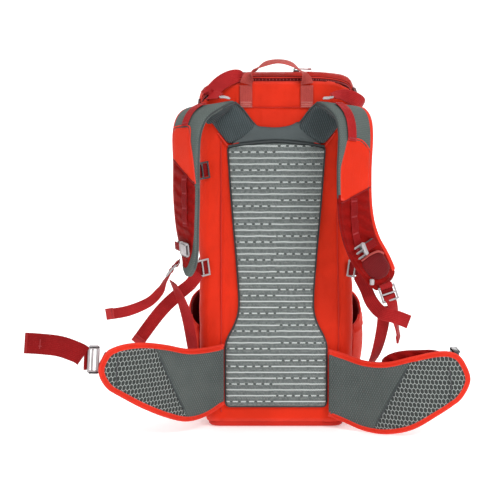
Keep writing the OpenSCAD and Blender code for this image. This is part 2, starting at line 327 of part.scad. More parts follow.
base_panel();
back_wall();
color(ORANGE) mirror([1, 0, 0]) side_wall();  // side_wall_left
color(ORANGE) side_wall();  // side_wall_right
front_lower_panel();
framesheet();
frame_hoop();
hydration_sleeve();
back_mesh_panel();
shoulder_yoke();
color(RED) mirror([1, 0, 0]) side_pocket();  // side_pocket_left
color(RED) side_pocket();  // side_pocket_right
zipper_track_body();
compression_webbing_left();
compression_webbing_right();
harness_webbing_left();
harness_webbing_right();
load_lifter_left();
load_lifter_right();
haul_loop_tabs();
axe_loops();
main_flap();
zipper_track_flap();
front_stretch_pocket();
haul_loop();
hip_wing_left();
hip_wing_right();
hip_pocket_left();
hip_pocket_right();
belt_buckle_male();
belt_webbing_tail();
belt_buckle_female();
shoulder_strap_left();
shoulder_strap_right();
sternum_rail_left();
sternum_rail_right();
lifter_buckle_left();
lifter_buckle_right();
strap_pocket_right();
sternum_slider_left();
sternum_slider_right();
sternum_buckle_left();
sternum_buckle_right();
strap_ladder_left();
strap_ladder_right();
strap_tail_left();
strap_tail_right();
side_ladder_left();
side_ladder_right();
side_tail_left();
side_tail_right();
upper_ladder_left();
upper_ladder_right();
main_zip_slider_left();
main_zip_slider_right();
top_zip_slider();
hip_zip_slider_left();
hip_zip_slider_right();
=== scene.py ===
"""Visual model of the daypack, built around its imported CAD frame. Tables are in millimetres, meshes in metres."""
import math

import bmesh
import bpy
import numpy as np
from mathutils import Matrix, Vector, noise
from mathutils.geometry import delaunay_2d_cdt


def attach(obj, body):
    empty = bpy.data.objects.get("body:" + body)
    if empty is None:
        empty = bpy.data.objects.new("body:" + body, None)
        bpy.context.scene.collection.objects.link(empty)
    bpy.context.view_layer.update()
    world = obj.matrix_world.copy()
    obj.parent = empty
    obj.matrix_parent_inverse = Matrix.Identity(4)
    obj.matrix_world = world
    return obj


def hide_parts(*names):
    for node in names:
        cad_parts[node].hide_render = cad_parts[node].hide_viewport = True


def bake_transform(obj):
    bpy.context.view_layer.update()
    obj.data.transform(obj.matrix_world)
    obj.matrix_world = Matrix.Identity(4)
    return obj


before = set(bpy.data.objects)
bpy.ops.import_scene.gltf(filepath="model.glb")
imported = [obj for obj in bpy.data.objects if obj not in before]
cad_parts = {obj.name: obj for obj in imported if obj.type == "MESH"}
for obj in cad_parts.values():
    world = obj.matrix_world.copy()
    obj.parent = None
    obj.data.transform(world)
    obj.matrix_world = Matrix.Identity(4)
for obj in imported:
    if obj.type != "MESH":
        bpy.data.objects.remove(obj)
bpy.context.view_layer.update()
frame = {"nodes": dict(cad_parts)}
SC = bpy.context.scene
MM = 0.001

# ------------------------------------------------------------------ camera, floor and light
EL = math.radians(5.0)
AIM = Vector((-0.040, -0.095, 0.274))
cam_data = bpy.data.cameras.new("camera")
cam_data.lens = 103.9
cam_data.sensor_width = 36.0
cam_data.clip_end = 50.0
cam = bpy.data.objects.new("camera", cam_data)
SC.collection.objects.link(cam)
cam.location = AIM + Vector((0, -math.cos(EL), math.sin(EL))) * 2.2
cam.rotation_euler = (AIM - cam.location).to_track_quat("-Z", "Y").to_euler()
SC.camera = cam
SC.view_settings.view_transform = "Standard"

world = bpy.data.worlds.new("studio")
SC.world = world
world.use_nodes = True
world.node_tree.nodes["Background"].inputs["Color"].default_value = (1.0, 1.0, 1.0, 1)
world.node_tree.nodes["Background"].inputs["Strength"].default_value = 0.50


def area_light(name, loc, aim, size, power, col=(1, 1, 1)):
    d = bpy.data.lights.new(name, "AREA")
    d.shape = "RECTANGLE"
    d.size, d.size_y = size
    d.energy = power
    d.color = col
    o = bpy.data.objects.new(name, d)
    SC.collection.objects.link(o)
    o.location = loc
    o.rotation_euler = (Vector(aim) - Vector(loc)).to_track_quat("-Z", "Y").to_euler()
    return o


area_light("key", (1.2, -2.5, 2.2), (0, 0, 0.28), (1.3, 1.0), 55)
area_light("fill", (-2.4, -1.8, 1.2), (0, 0, 0.25), (1.6, 1.6), 9)
area_light("top", (0.0, 0.2, 2.8), (0, 0, 0.2), (2.2, 1.8), 22)
area_light("back", (0.8, 2.6, 1.4), (0, 0, 0.3), (2.0, 1.6), 18)


# ------------------------------------------------------------------ small vector helpers
def unit(v):
    v = np.asarray(v, float)
    n = np.linalg.norm(v, axis=-1, keepdims=True)
    return v / np.where(n < 1e-9, 1.0, n)


def catmull(P, k):
    """Smooth curve through rows, k steps between rows; a row may hold any number of values."""
    P = np.asarray(P, float)
    n = len(P)
    out = []
    for i in range(n - 1):
        a, b, c, d = P[max(i - 1, 0)], P[i], P[i + 1], P[min(i + 2, n - 1)]
        for j in range(k):
            t = j / k
            out.append(0.5 * (2 * b + (c - a) * t + (2 * a - 5 * b + 4 * c - d) * t * t + (3 * b - a - 3 * c + d) * t**3))
    out.append(P[-1])
    return np.array(out)


def arc(P):
    P = np.asarray(P, float)
    return np.concatenate([[0.0], np.cumsum(np.linalg.norm(np.diff(P[:, :3] if P.shape[1] > 2 else P, axis=0), axis=1))])


def interp_rows(x, xs, rows):
    x = np.atleast_1d(x)
    return np.stack([np.interp(x, xs, rows[:, i]) for i in range(rows.shape[1])], -1)


def snoise(p, scale, seed=0.0):
    """Smooth noise of points in mm at a feature size in mm, about -1 to 1."""
    p = np.asarray(p, float).reshape(-1, 3)
    return np.array([noise.noise(Vector((q[0] / scale + seed, q[1] / scale - seed * 0.7, q[2] / scale + seed * 1.3))) for q in p])


# ------------------------------------------------------------------ meshes
PIECES = []


def make(name, verts, faces, mats, body, slot, fmat=None, uv=None, replaces=(), smooth=True, fix=True, padded=None):
    me = bpy.data.meshes.new(name)
    me.from_pydata((np.asarray(verts, float) * MM).tolist(), [], [tuple(int(i) for i in f) for f in faces])
    for m in mats if isinstance(mats, (list, tuple)) else [mats]:
        me.materials.append(m)
    if fmat is not None:
        me.polygons.foreach_set("material_index", np.asarray(fmat, np.int32))
    me.polygons.foreach_set("use_smooth", np.full(len(me.polygons), smooth))
    if uv is not None:
        lay = me.uv_layers.new(name="UVMap")
        idx = np.zeros(len(me.loops), np.int32)
        me.loops.foreach_get("vertex_index", idx)
        lay.data.foreach_set("uv", (np.asarray(uv, float)[idx] * MM).astype(np.float32).ravel())
    if fix:
        bm = bmesh.new()
        bm.from_mesh(me)
        bmesh.ops.recalc_face_normals(bm, faces=bm.faces)
        bm.to_mesh(me)
        bm.free()
    ob = bpy.data.objects.new(name, me)
    SC.collection.objects.link(ob)
    if isinstance(body, tuple):
        [c * MM for c in body[2]]
        [c * MM for c in body[3]]
        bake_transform(ob)
    else:
        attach(ob, body)
    if replaces:
        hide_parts(*replaces)
    PIECES.append(ob)
    return ob


def sharpen(ob, angle=35):
    ob.data.set_sharp_from_angle(angle=math.radians(angle))
    return ob


class Build:
    """Collects vertices and faces of several shapes into one mesh."""

    def __init__(self):
        self.v, self.f, self.m, self.uv = [], [], [], []

    def add(self, verts, faces, mat=0, uv=None):
        o = len(self.v)
        self.v.extend(np.asarray(verts, float).tolist())
        self.uv.extend((np.zeros((len(verts), 2)) if uv is None else np.asarray(uv, float)).tolist())
        for f in faces:
            self.f.append([i + o for i in f])
            self.m.append(mat)

    def rings(self, R, mat=0, closed=False, cap=True, uv=None):
        """R: m rings of n points."""
        R = np.asarray(R, float)
        m, n = R.shape[:2]
        F = []
        for j in range(m if closed else m - 1):
            k = (j + 1) % m
            for i in range(n):
                F.append([j * n + i, j * n + (i + 1) % n, k * n + (i + 1) % n, k * n + i])
        if cap and not closed:
            F.append(list(range(n))[::-1])
            F.append([(m - 1) * n + i for i in range(n)])
        self.add(R.reshape(-1, 3), F, mat, uv)

    def make(self, name, mats, body, slot, **kw):
        return make(name, self.v, self.f, mats, body, slot, fmat=self.m, uv=self.uv, **kw)


def frames(C, W):
    """Tangent, across and normal vectors along a centreline."""
    T = unit(np.gradient(C, axis=0))
    W = unit(W - (W * T).sum(1, keepdims=True) * T)
    return T, W, np.cross(W, T)


WEB_SECTION = np.array([(-1, -0.4), (-0.97, -0.85), (-0.92, -1), (-0.45, -1), (0, -1), (0.45, -1), (0.92, -1), (0.97, -0.85), (1, -0.4), (1, 0.4), (0.97, 0.85), (0.92, 1), (0.45, 1), (0, 1), (-0.45, 1), (-0.92, 1), (-0.97, 0.85), (-1, 0.4)])


def ribbon_into(B, rows, k=8, mat=0, wscale=1.0, cup=0.0, v0=0.0):
    """Webbing along rows of [x, y, z, wx, wy, wz, width, thickness]."""
    R = catmull(rows, k)
    C = R[:, :3]
    T, W, N = frames(C, R[:, 3:6])
    L = arc(C) + v0
    n = len(WEB_SECTION)
    rings, uvs = [], []
    for i in range(len(R)):
        a, b = R[i, 6] / 2 * wscale, R[i, 7] / 2
        for p, q in WEB_SECTION:
            rings.append(C[i] + W[i] * a * p + N[i] * (b * q + cup * (1 - p * p)))
            uvs.append((a * p, L[i]))
    B.rings(np.array(rings).reshape(len(R), n, 3), mat, uv=np.array(uvs))
    return R, T, W, N, L


def tube_into(B, P, r, n=8, mat=0, closed=False, flat=1.0, up=None):
    """Round or flattened tube along points. r may be one value or one per point."""
    P = np.asarray(P, float)
    m = len(P)
    r = np.full(m, r) if np.isscalar(r) else np.asarray(r, float)
    if closed:
        T = unit(np.roll(P, -1, 0) - np.roll(P, 1, 0))
    else:
        T = unit(np.gradient(P, axis=0))
    if up is None:
        N = np.zeros_like(P)
        a = np.array([0, 0, 1.0]) if abs(T[0][2]) < 0.9 else np.array([0, 1.0, 0])
        N[0] = unit(a - (a @ T[0]) * T[0])
        for i in range(1, m):
            v = N[i - 1] - (N[i - 1] @ T[i]) * T[i]
            N[i] = unit(v)
    else:
        up = np.asarray(up, float)
        up = np.tile(up, (m, 1)) if up.ndim == 1 else up
        N = unit(up - (up * T).sum(1, keepdims=True) * T)
    Bn = np.cross(T, N)
    R = []
    for i in range(m):
        for j in range(n):
            a = 2 * math.pi * j / n
            R.append(P[i] + r[i] * (math.cos(a) * N[i] * flat + math.sin(a) * Bn[i]))
    L = arc(P)
    uv = np.array([(2 * math.pi * r[i] * j / n, L[i]) for i in range(m) for j in range(n)])
    B.rings(np.array(R).reshape(m, n, 3), mat, closed=closed, uv=uv)


def box_into(B, c, x, y, size, mat=0, bevel=0.6, taper=1.0):
    """Block with bevelled edges: centre, x direction, y direction, size along x, y and z."""
    x = unit(x)
    y = np.asarray(y, float)
    y = unit(y - (y @ x) * x)
    z = np.cross(x, y)
    hx, hy, hz = np.array(size) / 2
    b = min(bevel, hx * 0.9, hy * 0.9, hz * 0.9)
    rings = []
    for dz, s in ((-hz, b), (-hz + b, 0), (hz - b, 0), (hz, b)):
        tx = hx - s
        ty = hy - s
        t = taper if dz > 0 else 1.0
        ring = [(tx - b, ty), (-tx + b, ty), (-tx, ty - b), (-tx, -ty + b), (-tx + b, -ty), (tx - b, -ty), (tx, -ty + b), (tx, ty - b)]
        rings.append([np.asarray(c) + x * p * t + y * q * t + z * dz for p, q in ring])
    B.rings(np.array(rings), mat)


# ------------------------------------------------------------------ filled outlines
def resample(P, step, closed=True):
    P = np.asarray(P, float)
    Q = np.vstack([P, P[:1]]) if closed else P
    L = np.concatenate([[0], np.cumsum(np.linalg.norm(np.diff(Q, axis=0), axis=1))])
    n = max(int(round(L[-1] / step)), 8)
    s = np.linspace(0, L[-1], n + 1)
    out = np.stack([np.interp(s, L, Q[:, i]) for i in range(Q.shape[1])], -1)
    return out[:-1] if closed else out


def smooth_closed(P, k):
    P = np.asarray(P, float)
    n = len(P)
    out = []
    for i in range(n):
        a, b, c, d = P[i - 1], P[i], P[(i + 1) % n], P[(i + 2) % n]
        for j in range(k):
            t = j / k
            out.append(0.5 * (2 * b + (c - a) * t + (2 * a - 5 * b + 4 * c - d) * t * t + (3 * b - a - 3 * c + d) * t**3))
    return np.array(out)


def round_corners(P, r, k=5):
    """Rounds the corners of a closed polygon. r may be one radius or one per corner."""
    P = np.asarray(P, float)
    n = len(P)
    r = np.full(n, r) if np.isscalar(r) else np.asarray(r, float)
    out = []
    for i in range(n):
        a, b, c = P[i - 1], P[i], P[(i + 1) % n]
        la, lc = np.linalg.norm(a - b), np.linalg.norm(c - b)
        d = min(r[i], la * 0.49, lc * 0.49)
        if d < 0.3:
            out.append(b)
            continue
        p, q = b + (a - b) / la * d, b + (c - b) / lc * d
        for j in range(k + 1):
            t = j / k
            out.append((1 - t) ** 2 * p + 2 * t * (1 - t) * b + t * t * q)
    return np.array(out)


def edge_distance(pts, poly):
    a = poly
    b = np.roll(poly, -1, 0)
    d = b - a
    l2 = (d**2).sum(1)
    best = np.full(len(pts), 1e9)
    for s in range(0, len(pts), 2000):
        p = pts[s : s + 2000]
        t = np.clip(((p[:, None] - a[None]) * d[None]).sum(2) / np.where(l2 < 1e-9, 1, l2), 0, 1)
        q = a[None] + t[..., None] * d[None]
        best[s : s + 2000] = np.sqrt(((p[:, None] - q) ** 2).sum(2)).min(1)
    return best


def inside(pts, poly):
    x, y = pts[:, 0], pts[:, 1]
    res = np.zeros(len(pts), bool)
    a = poly
    b = np.roll(poly, -1, 0)
    for i in range(len(poly)):
        c = (a[i, 1] > y) != (b[i, 1] > y)
        with np.errstate(divide="ignore", invalid="ignore"):
            xi = (b[i, 0] - a[i, 0]) * (y - a[i, 1]) / (b[i, 1] - a[i, 1]) + a[i, 0]
        res ^= c & (x < xi)
    return res


def fill(poly, step, rings=(), extra=None):
    """Triangulates a closed outline with rings of points near its edge. Returns points, triangles, edge distance and the count of edge points."""
    B = resample(poly, step)
    area = 0.5 * (B[:, 0] * np.roll(B[:, 1], -1) - np.roll(B[:, 0], -1) * B[:, 1]).sum()
    if area < 0:
        B = B[::-1].copy()
    n = len(B)
    t = unit(np.roll(B, -1, 0) - np.roll(B, 1, 0))
    nrm = np.stack([-t[:, 1], t[:, 0]], -1)
    pts = [B]
    for r in rings:
        q = B + nrm * r
        q = q[inside(q, B)]
        q = q[edge_distance(q, B) > r * 0.97]
        pts.append(q)
    last = rings[-1] if rings else 0
    lo, hi = B.min(0), B.max(0)
    gx = np.arange(lo[0] + step * 0.3, hi[0], step)
    gy = np.arange(lo[1] + step * 0.3, hi[1], step * 0.866)
    G = np.array([(x + (0.5 * step if j % 2 else 0), y) for j, y in enumerate(gy) for x in gx])
    if len(G):
        G = G[inside(G, B)]
    if len(G):
        G = G[edge_distance(G, B) > last + step * 0.55]
        pts.append(G)
    if extra is not None and len(extra):
        pts.append(np.asarray(extra))
    P = np.vstack(pts)
    res = delaunay_2d_cdt([Vector(p) for p in P], [(i, (i + 1) % n) for i in range(n)], [], 1, 1e-5)
    V = np.array([tuple(v) for v in res[0]])
    F = [tuple(f) for f in res[2]]
    d = edge_distance(V, B)
    d[d < 1e-3] = 0
    return V, F, d, B


def dome(d, T, R):
    """Rounded edge: height at distance d from the edge, T high beyond R."""
    q = 1 - np.clip(d / R, 0, 1)
    return T * np.sqrt(np.clip(1 - q * q, 0, 1))


def pad(name, poly, surf, front, back, mats, body, slot, step=3.0, rings=(0.5, 1.6, 3.2, 5.5), zone=None, replaces=(), padded=None, uvs=None, extra=None):
    """Closed padded piece: an outline on a surface, with a front and a back height over it.
    surf(uv, offset) -> points; front and back(uv, d) -> heights; zone(uv, d, is_front) -> material index."""
    V, F, d, B = fill(poly, step, rings, extra)
    n = len(V)
    edge = d <= 0
    f = surf(V, front(V, d))
    b = surf(V, -back(V, d))
    mid = surf(V, np.zeros(n))
    f[edge] = mid[edge]
    bi = np.full(n, -1)
    bi[edge] = np.arange(n)[edge]
    bi[~edge] = n + np.arange((~edge).sum())
    verts = np.vstack([f, b[~edge]])
    uvv = np.vstack([V, V[~edge]]) if uvs is None else np.vstack([uvs(V), uvs(V)[~edge]])
    faces = [list(t) for t in F] + [[bi[t[0]], bi[t[2]], bi[t[1]]] for t in F]
    fm = None
    if zone is not None:
        cen = np.array([V[list(t)].mean(0) for t in F])
        dc = np.array([d[list(t)].mean() for t in F])
        fm = np.concatenate([zone(cen, dc, True), zone(cen, dc, False)])
    return make(name, verts, faces, mats, body, slot, fmat=fm, uv=uvv, replaces=replaces, padded=padded)


# ------------------------------------------------------------------ materials
def lin(c):
    return tuple(((x / 255) / 12.92 if x / 255 <= 0.04045 else ((x / 255 + 0.055) / 1.055) ** 2.4) for x in c)


class Nodes:
    def __init__(self, name):
        self.mat = bpy.data.materials.new(name)
        self.mat.use_nodes = True
        self.nt = self.mat.node_tree
        self.bsdf = self.nt.nodes["Principled BSDF"]

    def n(self, t, **kw):
        x = self.nt.nodes.new(t)
        for k, v in kw.items():
            setattr(x, k, v)
        return x

    def put(self, sock, v):
        if hasattr(v, "is_output") or isinstance(v, bpy.types.NodeSocket):
            self.nt.links.new(v, sock)
        else:
            sock.default_value = v

    def math(self, op, a, b=0.0, c=None, clamp=False):
        x = self.n("ShaderNodeMath", operation=op, use_clamp=clamp)
        self.put(x.inputs[0], a)
        self.put(x.inputs[1], b)
        if c is not None:
            self.put(x.inputs[2], c)
        return x.outputs[0]

    def coord(self, kind="Object"):
        return self.n("ShaderNodeTexCoord").outputs[kind]

    def uv(self):
        return self.n("ShaderNodeUVMap", uv_map="UVMap").outputs["UV"]

    def xyz(self, v):
        s = self.n("ShaderNodeSeparateXYZ")
        self.nt.links.new(v, s.inputs[0])
        return s.outputs[0], s.outputs[1], s.outputs[2]

    def noise(self, vec, scale, detail=2.0, rough=0.5, out="Fac"):
        x = self.n("ShaderNodeTexNoise")
        self.nt.links.new(vec, x.inputs["Vector"])
        x.inputs["Scale"].default_value = scale
        x.inputs["Detail"].default_value = detail
        x.inputs["Roughness"].default_value = rough
        return x.outputs[out]

    def wave(self, sock, period, sharp=1.0):
        """0..1 rounded ridges of a coordinate in metres, one per period."""
        s = self.math("SINE", self.math("MULTIPLY", sock, 2 * math.pi / period))
        h = self.math("MULTIPLY_ADD", s, 0.5, 0.5)
        return h if sharp == 1.0 else self.math("POWER", h, sharp)

    def mix(self, f, a, b):
        x = self.n("ShaderNodeMix", data_type="RGBA")
        self.put(x.inputs[0], f)
        for i, v in ((6, a), (7, b)):
            if isinstance(v, tuple):
                x.inputs[i].default_value = (*v[:3], 1)
            else:
                self.nt.links.new(v, x.inputs[i])
        return x.outputs[2]

    def ramp(self, f, lo, hi):
        x = self.n("ShaderNodeMapRange", clamp=True)
        self.put(x.inputs[0], f)
        x.inputs[1].default_value = lo
        x.inputs[2].default_value = hi
        return x.outputs[0]

    def bump(self, h, dist, strength=1.0, prev=None):
        x = self.n("ShaderNodeBump")
        self.put(x.inputs["Height"], h)
        x.inputs["Distance"].default_value = dist
        x.inputs["Strength"].default_value = strength
        if prev is not None:
            self.nt.links.new(prev, x.inputs["Normal"])
        return x.outputs[0]

    def done(self, color, rough, normal=None, **fixed):
        self.put(self.bsdf.inputs["Base Color"], color if not isinstance(color, tuple) else (*color[:3], 1))
        self.put(self.bsdf.inputs["Roughness"], rough)
        if normal is not None:
            self.nt.links.new(normal, self.bsdf.inputs["Normal"])
        for k, v in fixed.items():
            self.bsdf.inputs[k.replace("_", " ")].default_value = v
        return self.mat


def wear(m, base, amount=0.5, light=1.35):
    """Slightly paler where the surface is sharply convex."""
    g = m.n("ShaderNodeNewGeometry")
    f = m.ramp(g.outputs["Pointiness"], 0.52, 0.60)
    c = m.mix(m.math("MULTIPLY", f, amount), base, base)
    hsv = m.n("ShaderNodeHueSaturation")
    hsv.inputs["Value"].default_value = light
    hsv.inputs["Saturation"].default_value = 0.92
    m.nt.links.new(base, hsv.inputs["Color"])
    return m.mix(m.math("MULTIPLY", f, amount), base, hsv.outputs[0])


def nylon(name, col, rough=0.52, grain=0.0011, depth=0.00016, crease=0.0018, vary=0.16, sheen=0.01, ior=1.22, pleat=0.0):
    """Woven pack cloth: a fine weave, soft creases, slight colour change, and painted shade along the pleat folds when
    pleat is set.
    """
    m = Nodes(name)
    co = m.coord()
    x, y, z = m.xyz(co)
    w = m.math("MULTIPLY", m.wave(x, grain), m.wave(z, grain * 1.12))
    w = m.math("ADD", w, m.math("MULTIPLY", m.wave(y, grain), m.wave(z, grain * 1.12)))
    w = m.math("ADD", w, m.math("MULTIPLY", m.wave(y, grain), m.wave(x, grain * 1.1)))
    big = m.noise(co, 9.0, 3.0, 0.55)
    mid = m.noise(co, 55.0, 3.0, 0.6)
    fine = m.noise(co, 900.0, 2.0, 0.6)
    b = m.bump(w, depth, 0.8)
    b = m.bump(mid, crease, 0.35, b)
    if pleat:
        wob = m.math("MULTIPLY", m.math("SUBTRACT", m.noise(co, 26.0, 2.0), 0.5), 0.022)
        fold = m.wave(m.math("ADD", m.math("ADD", z, m.math("MULTIPLY", x, 0.45)), wob), 0.0155)
        b = m.bump(fold, pleat, 0.7, b)
    dark = tuple(c * (1 - vary) for c in col)
    lite = tuple(min(1, c * (1 + vary * 0.6)) for c in col)
    c = m.mix(m.ramp(big, 0.3, 0.7), dark, lite)
    c = m.mix(m.math("MULTIPLY", m.ramp(fine, 0.45, 0.75), 0.22), c, tuple(x * 0.72 for x in col))
    if pleat:
        # painted shade: the colour darkens along each pleat fold, standing in for shadow in the creases
        c = m.mix(m.math("MULTIPLY", m.ramp(fold, 0.55, 0.95), 0.4), c, tuple(x * 0.55 for x in col))
    c = wear(m, c, 0.45)
    r = m.math("MULTIPLY_ADD", mid, 0.16, rough - 0.08)
    return m.done(c, r, b, Sheen_Weight=sheen, Sheen_Roughness=0.4, IOR=ior)


def webbing(name, col, rough=0.55, rib=0.0026, vary=0.14, edge=0.0):
    """Woven tape: slanted ribs in rows along it; edge, for a pale or dark selvedge, is not used."""
    m = Nodes(name)
    uv = m.uv()
    u, v, _ = m.xyz(uv)
    across = m.wave(u, rib, 1.0)
    slant = m.wave(m.math("ADD", v, m.math("MULTIPLY", m.math("PINGPONG", u, rib / 2), 0.8)), 0.0014)
    h = m.math("MULTIPLY", across, m.math("MULTIPLY_ADD", slant, 0.6, 0.4))
    co = m.coord()
    big = m.noise(co, 40.0, 2.0)
    fine = m.noise(co, 700.0, 2.0)
    c = m.mix(m.ramp(big, 0.3, 0.7), tuple(x * (1 - vary) for x in col), tuple(min(1, x * (1 + vary)) for x in col))
    c = m.mix(m.math("MULTIPLY", m.math("SUBTRACT", 1.0, h), 0.38), c, tuple(x * 0.45 for x in col))
    c = m.mix(m.math("MULTIPLY", m.ramp(fine, 0.5, 0.8), 0.25), c, tuple(min(1, x * 1.5 + 0.03) for x in col))
    c = wear(m, c, 0.5, 1.5)
    b = m.bump(h, 0.00030, 0.9)
    return m.done(c, rough, b, Sheen_Weight=0.01, Sheen_Roughness=0.35, IOR=1.15)


def knit(name, col, pitch=0.0022, rough=0.85, vary=0.12, depth=0.0004, hi=None, uvbased=True):
    """Fine spacer knit: small offset cells with darker holes."""
    m = Nodes(name)
    vec = m.uv() if uvbased else m.coord()
    u, v, z = m.xyz(vec)
    if not uvbased:
        v = z
    a = m.wave(u, pitch, 1.0)
    row = m.math("FLOOR", m.math("DIVIDE", v, pitch))
    off = m.math("MULTIPLY", m.math("MODULO", row, 2.0), pitch / 2)
    a = m.wave(m.math("ADD", u, off), pitch)
    b_ = m.wave(v, pitch)
    h = m.math("MULTIPLY", a, b_)
    co = m.coord()
    big = m.noise(co, 25.0, 2.0)
    hi = hi or tuple(min(1, x * 1.5 + 0.01) for x in col)
    c = m.mix(m.ramp(big, 0.3, 0.7), tuple(x * (1 - vary) for x in col), tuple(x * (1 + vary) for x in col))
    c = m.mix(m.math("MULTIPLY", m.ramp(h, 0.15, 0.9), 0.65), c, hi)
    bp = m.bump(h, depth, 0.8)
    return m.done(c, rough, bp, Sheen_Weight=0.04, Sheen_Roughness=0.5, IOR=1.2)


def ribknit(name, col, pitch=0.0030, rough=0.8, hi=None):
    """Knit with upright ribs."""
    m = Nodes(name)
    uv = m.uv()
    u, v, _ = m.xyz(uv)
    a = m.wave(u, pitch)
    b_ = m.wave(v, 0.0016)
    h = m.math("MULTIPLY_ADD", b_, 0.25, a)
    co = m.coord()
    big = m.noise(co, 30.0, 2.0)
    c = m.mix(m.ramp(big, 0.3, 0.7), tuple(x * 0.85 for x in col), tuple(x * 1.12 for x in col))
    c = m.mix(m.math("MULTIPLY", m.ramp(h, 0.5, 1.15), 0.6), c, hi or tuple(min(1, x * 2.0 + 0.01) for x in col))
    bp = m.bump(h, 0.0005, 0.9)
    return m.done(c, rough, bp, Sheen_Weight=0.04, Sheen_Roughness=0.5, IOR=1.2)


def plastic(name, col, rough=0.32, vary=0.08, coat=0.15):
    """Moulded buckle plastic with faint flow marks and scuffs."""
    m = Nodes(name)
    co = m.coord()
    big = m.noise(co, 120.0, 3.0)
    sc = m.noise(co, 900.0, 3.0, 0.7)
    c = m.mix(m.ramp(big, 0.3, 0.7), tuple(x * (1 - vary) for x in col), tuple(min(1, x * (1 + vary)) for x in col))
    c = wear(m, c, 0.6, 1.25)
    b = m.bump(sc, 0.00005, 0.6)
    r = m.math("MULTIPLY_ADD", sc, 0.25, rough - 0.1)
    return m.done(c, r, b, Coat_Weight=coat, Coat_Roughness=0.25, IOR=1.5)


ORANGE = lin((222, 46, 18))
ORANGE_D = lin((200, 34, 14))
DARKRED = lin((142, 17, 14))
WEBRED = lin((168, 34, 36))
DUSTY = lin((180, 74, 68))
GREY = lin((86, 94, 91))
YOKE = lin((62, 70, 72))

M_SHELL = nylon("shell_nylon", ORANGE)
M_SHELL_D = nylon("shell_nylon_shadow", ORANGE_D)
M_BIND = nylon("binding_tape", lin((216, 42, 18)), rough=0.6, grain=0.0016, depth=0.0002, crease=0.0004)
M_DARKRED = nylon("dark_red_nylon", DARKRED, rough=0.48, crease=0.0026, sheen=0.0, ior=1.12, pleat=0.0035)
M_LID = nylon("lid_nylon_dark", lin((166, 26, 14)), sheen=0.0, ior=1.12)
M_LINING = nylon("lining_cloth", lin((150, 150, 150)), rough=0.6)
M_WEB = webbing("webbing_red", WEBRED)
M_WEB_D = webbing("webbing_dark_red", lin((138, 20, 22)))
M_WEB_P = webbing("webbing_dusty", DUSTY)
M_KNIT = knit("strap_spacer_knit", GREY, pitch=0.0026)
M_WINGKNIT = knit("wing_fine_knit", lin((104, 107, 104)), pitch=0.0034, depth=0.0005, hi=lin((150, 154, 150)))
M_HEXBASE = knit("wing_mesh_base", lin((118, 120, 118)), pitch=0.0020, hi=lin((160, 162, 160)))
M_YOKE = ribknit("yoke_rib_knit", YOKE)
M_PIPING = nylon("grey_piping", lin((70, 75, 76)), rough=0.7, grain=0.0009)
M_BUCKLE = plastic("buckle_light_grey", lin((166, 160, 162)))
M_BUCKLE_D = plastic("buckle_dark", lin((60, 60, 64)))
M_FRAME = plastic("frame_sheet_plastic", lin((40, 40, 42)), rough=0.6, coat=0.0)
M_MESHDARK = knit("stretch_mesh_dark_red", lin((98, 14, 18)), pitch=0.0022, hi=lin((134, 28, 32)), rough=0.7)
M_ZIP = webbing("zip_tape", lin((92, 18, 20)), rib=0.0018)
M_THREAD = webbing("stitch_thread", lin((150, 40, 44)), rough=0.5)
M_THREAD_L = webbing("stitch_thread_pale", lin((206, 130, 122)), rough=0.5)
M_NET = plastic("hex_net_pale", lin((214, 216, 214)), rough=0.6, coat=0.0)
M_PULL = plastic("zip_pull_red", lin((150, 26, 30)), rough=0.4)


def alu():
    m = Nodes("drawn_aluminium")
    co = m.coord()
    s = m.noise(co, 600.0, 3.0, 0.7)
    return m.done(m.mix(s, (0.55, 0.56, 0.58), (0.75, 0.76, 0.78)), m.math("MULTIPLY_ADD", s, 0.2, 0.3), m.bump(s, 0.00004, 0.5), Metallic=1.0)


M_ALU = alu()

# floor and curved backdrop
mfloor = Nodes("studio_white")
cf = mfloor.coord()
mfloor.done(mfloor.mix(mfloor.noise(cf, 3.0), (0.94, 0.94, 0.94), (0.96, 0.96, 0.96)), 0.8, Emission_Color=(1, 1, 1, 1), Emission_Strength=0.36)
prof = [(-5.0, 0.0), (2.2, 0.0)] + [(2.2 + 1.2 * math.sin(a), 1.2 - 1.2 * math.cos(a)) for a in np.linspace(0.1, math.pi / 2, 10)] + [(3.4, 6.0)]
fv = [(x, y, z - 0.0006) for y, z in prof for x in (-6.0, 6.0)]
ff = [(2 * i, 2 * i + 1, 2 * i + 3, 2 * i + 2) for i in range(len(prof) - 1)]
fm_ = bpy.data.meshes.new("floor")
fm_.from_pydata(fv, [], ff)
fm_.materials.append(mfloor.mat)
fm_.polygons.foreach_set("use_smooth", np.full(len(ff), True))
floor = bpy.data.objects.new("floor", fm_)
SC.collection.objects.link(floor)

# ------------------------------------------------------------------ the bag's form
HALF_W, BACK_Y, BACK_R, FRONT_R, WALL = 118.0, -92.0, 18.0, 52.0, 3.5


def hw(z):
    return HALF_W + np.interp(z, [0, 12, 40, 120, 300, 430, 490, 514, 531], [-16, -9, -4, 0, 0, 0, 1, 1, -4])


def front_y(z):
    return np.interp(z, [0, 12, 40, 120, 220, 440, 485, 512, 531], [82, 90, 97, 102, 101, 84, 72, 54, 30])


def back_y(z):
    return np.interp(z, [0, 34], [BACK_Y + 1, BACK_Y])


def corner(z, part, a, inn=0.0):
    a = np.radians(a)
    r = BACK_R if part == 0 else FRONT_R
    cy = back_y(z) + r if part == 0 else front_y(z) - r
    w = hw(z)
    return np.stack([w - r + (r - inn) * np.cos(a), cy + (r - inn) * np.sin(a), z + 0 * a], -1)


def sag(P):
    """The soft top drops on the left."""
    P = np.array(P, float)
    shp = P.shape
    Q = P.reshape(-1, 3)
    t = np.clip((-Q[:, 0] - 38) / 80, 0, 1)
    f = np.clip((Q[:, 2] - 430) / 80, 0, 1)
    t = t * t * (3 - 2 * t)
    f = f * f * (3 - 2 * f)
    Q[:, 2] -= 17 * t * f
    return Q.reshape(shp)


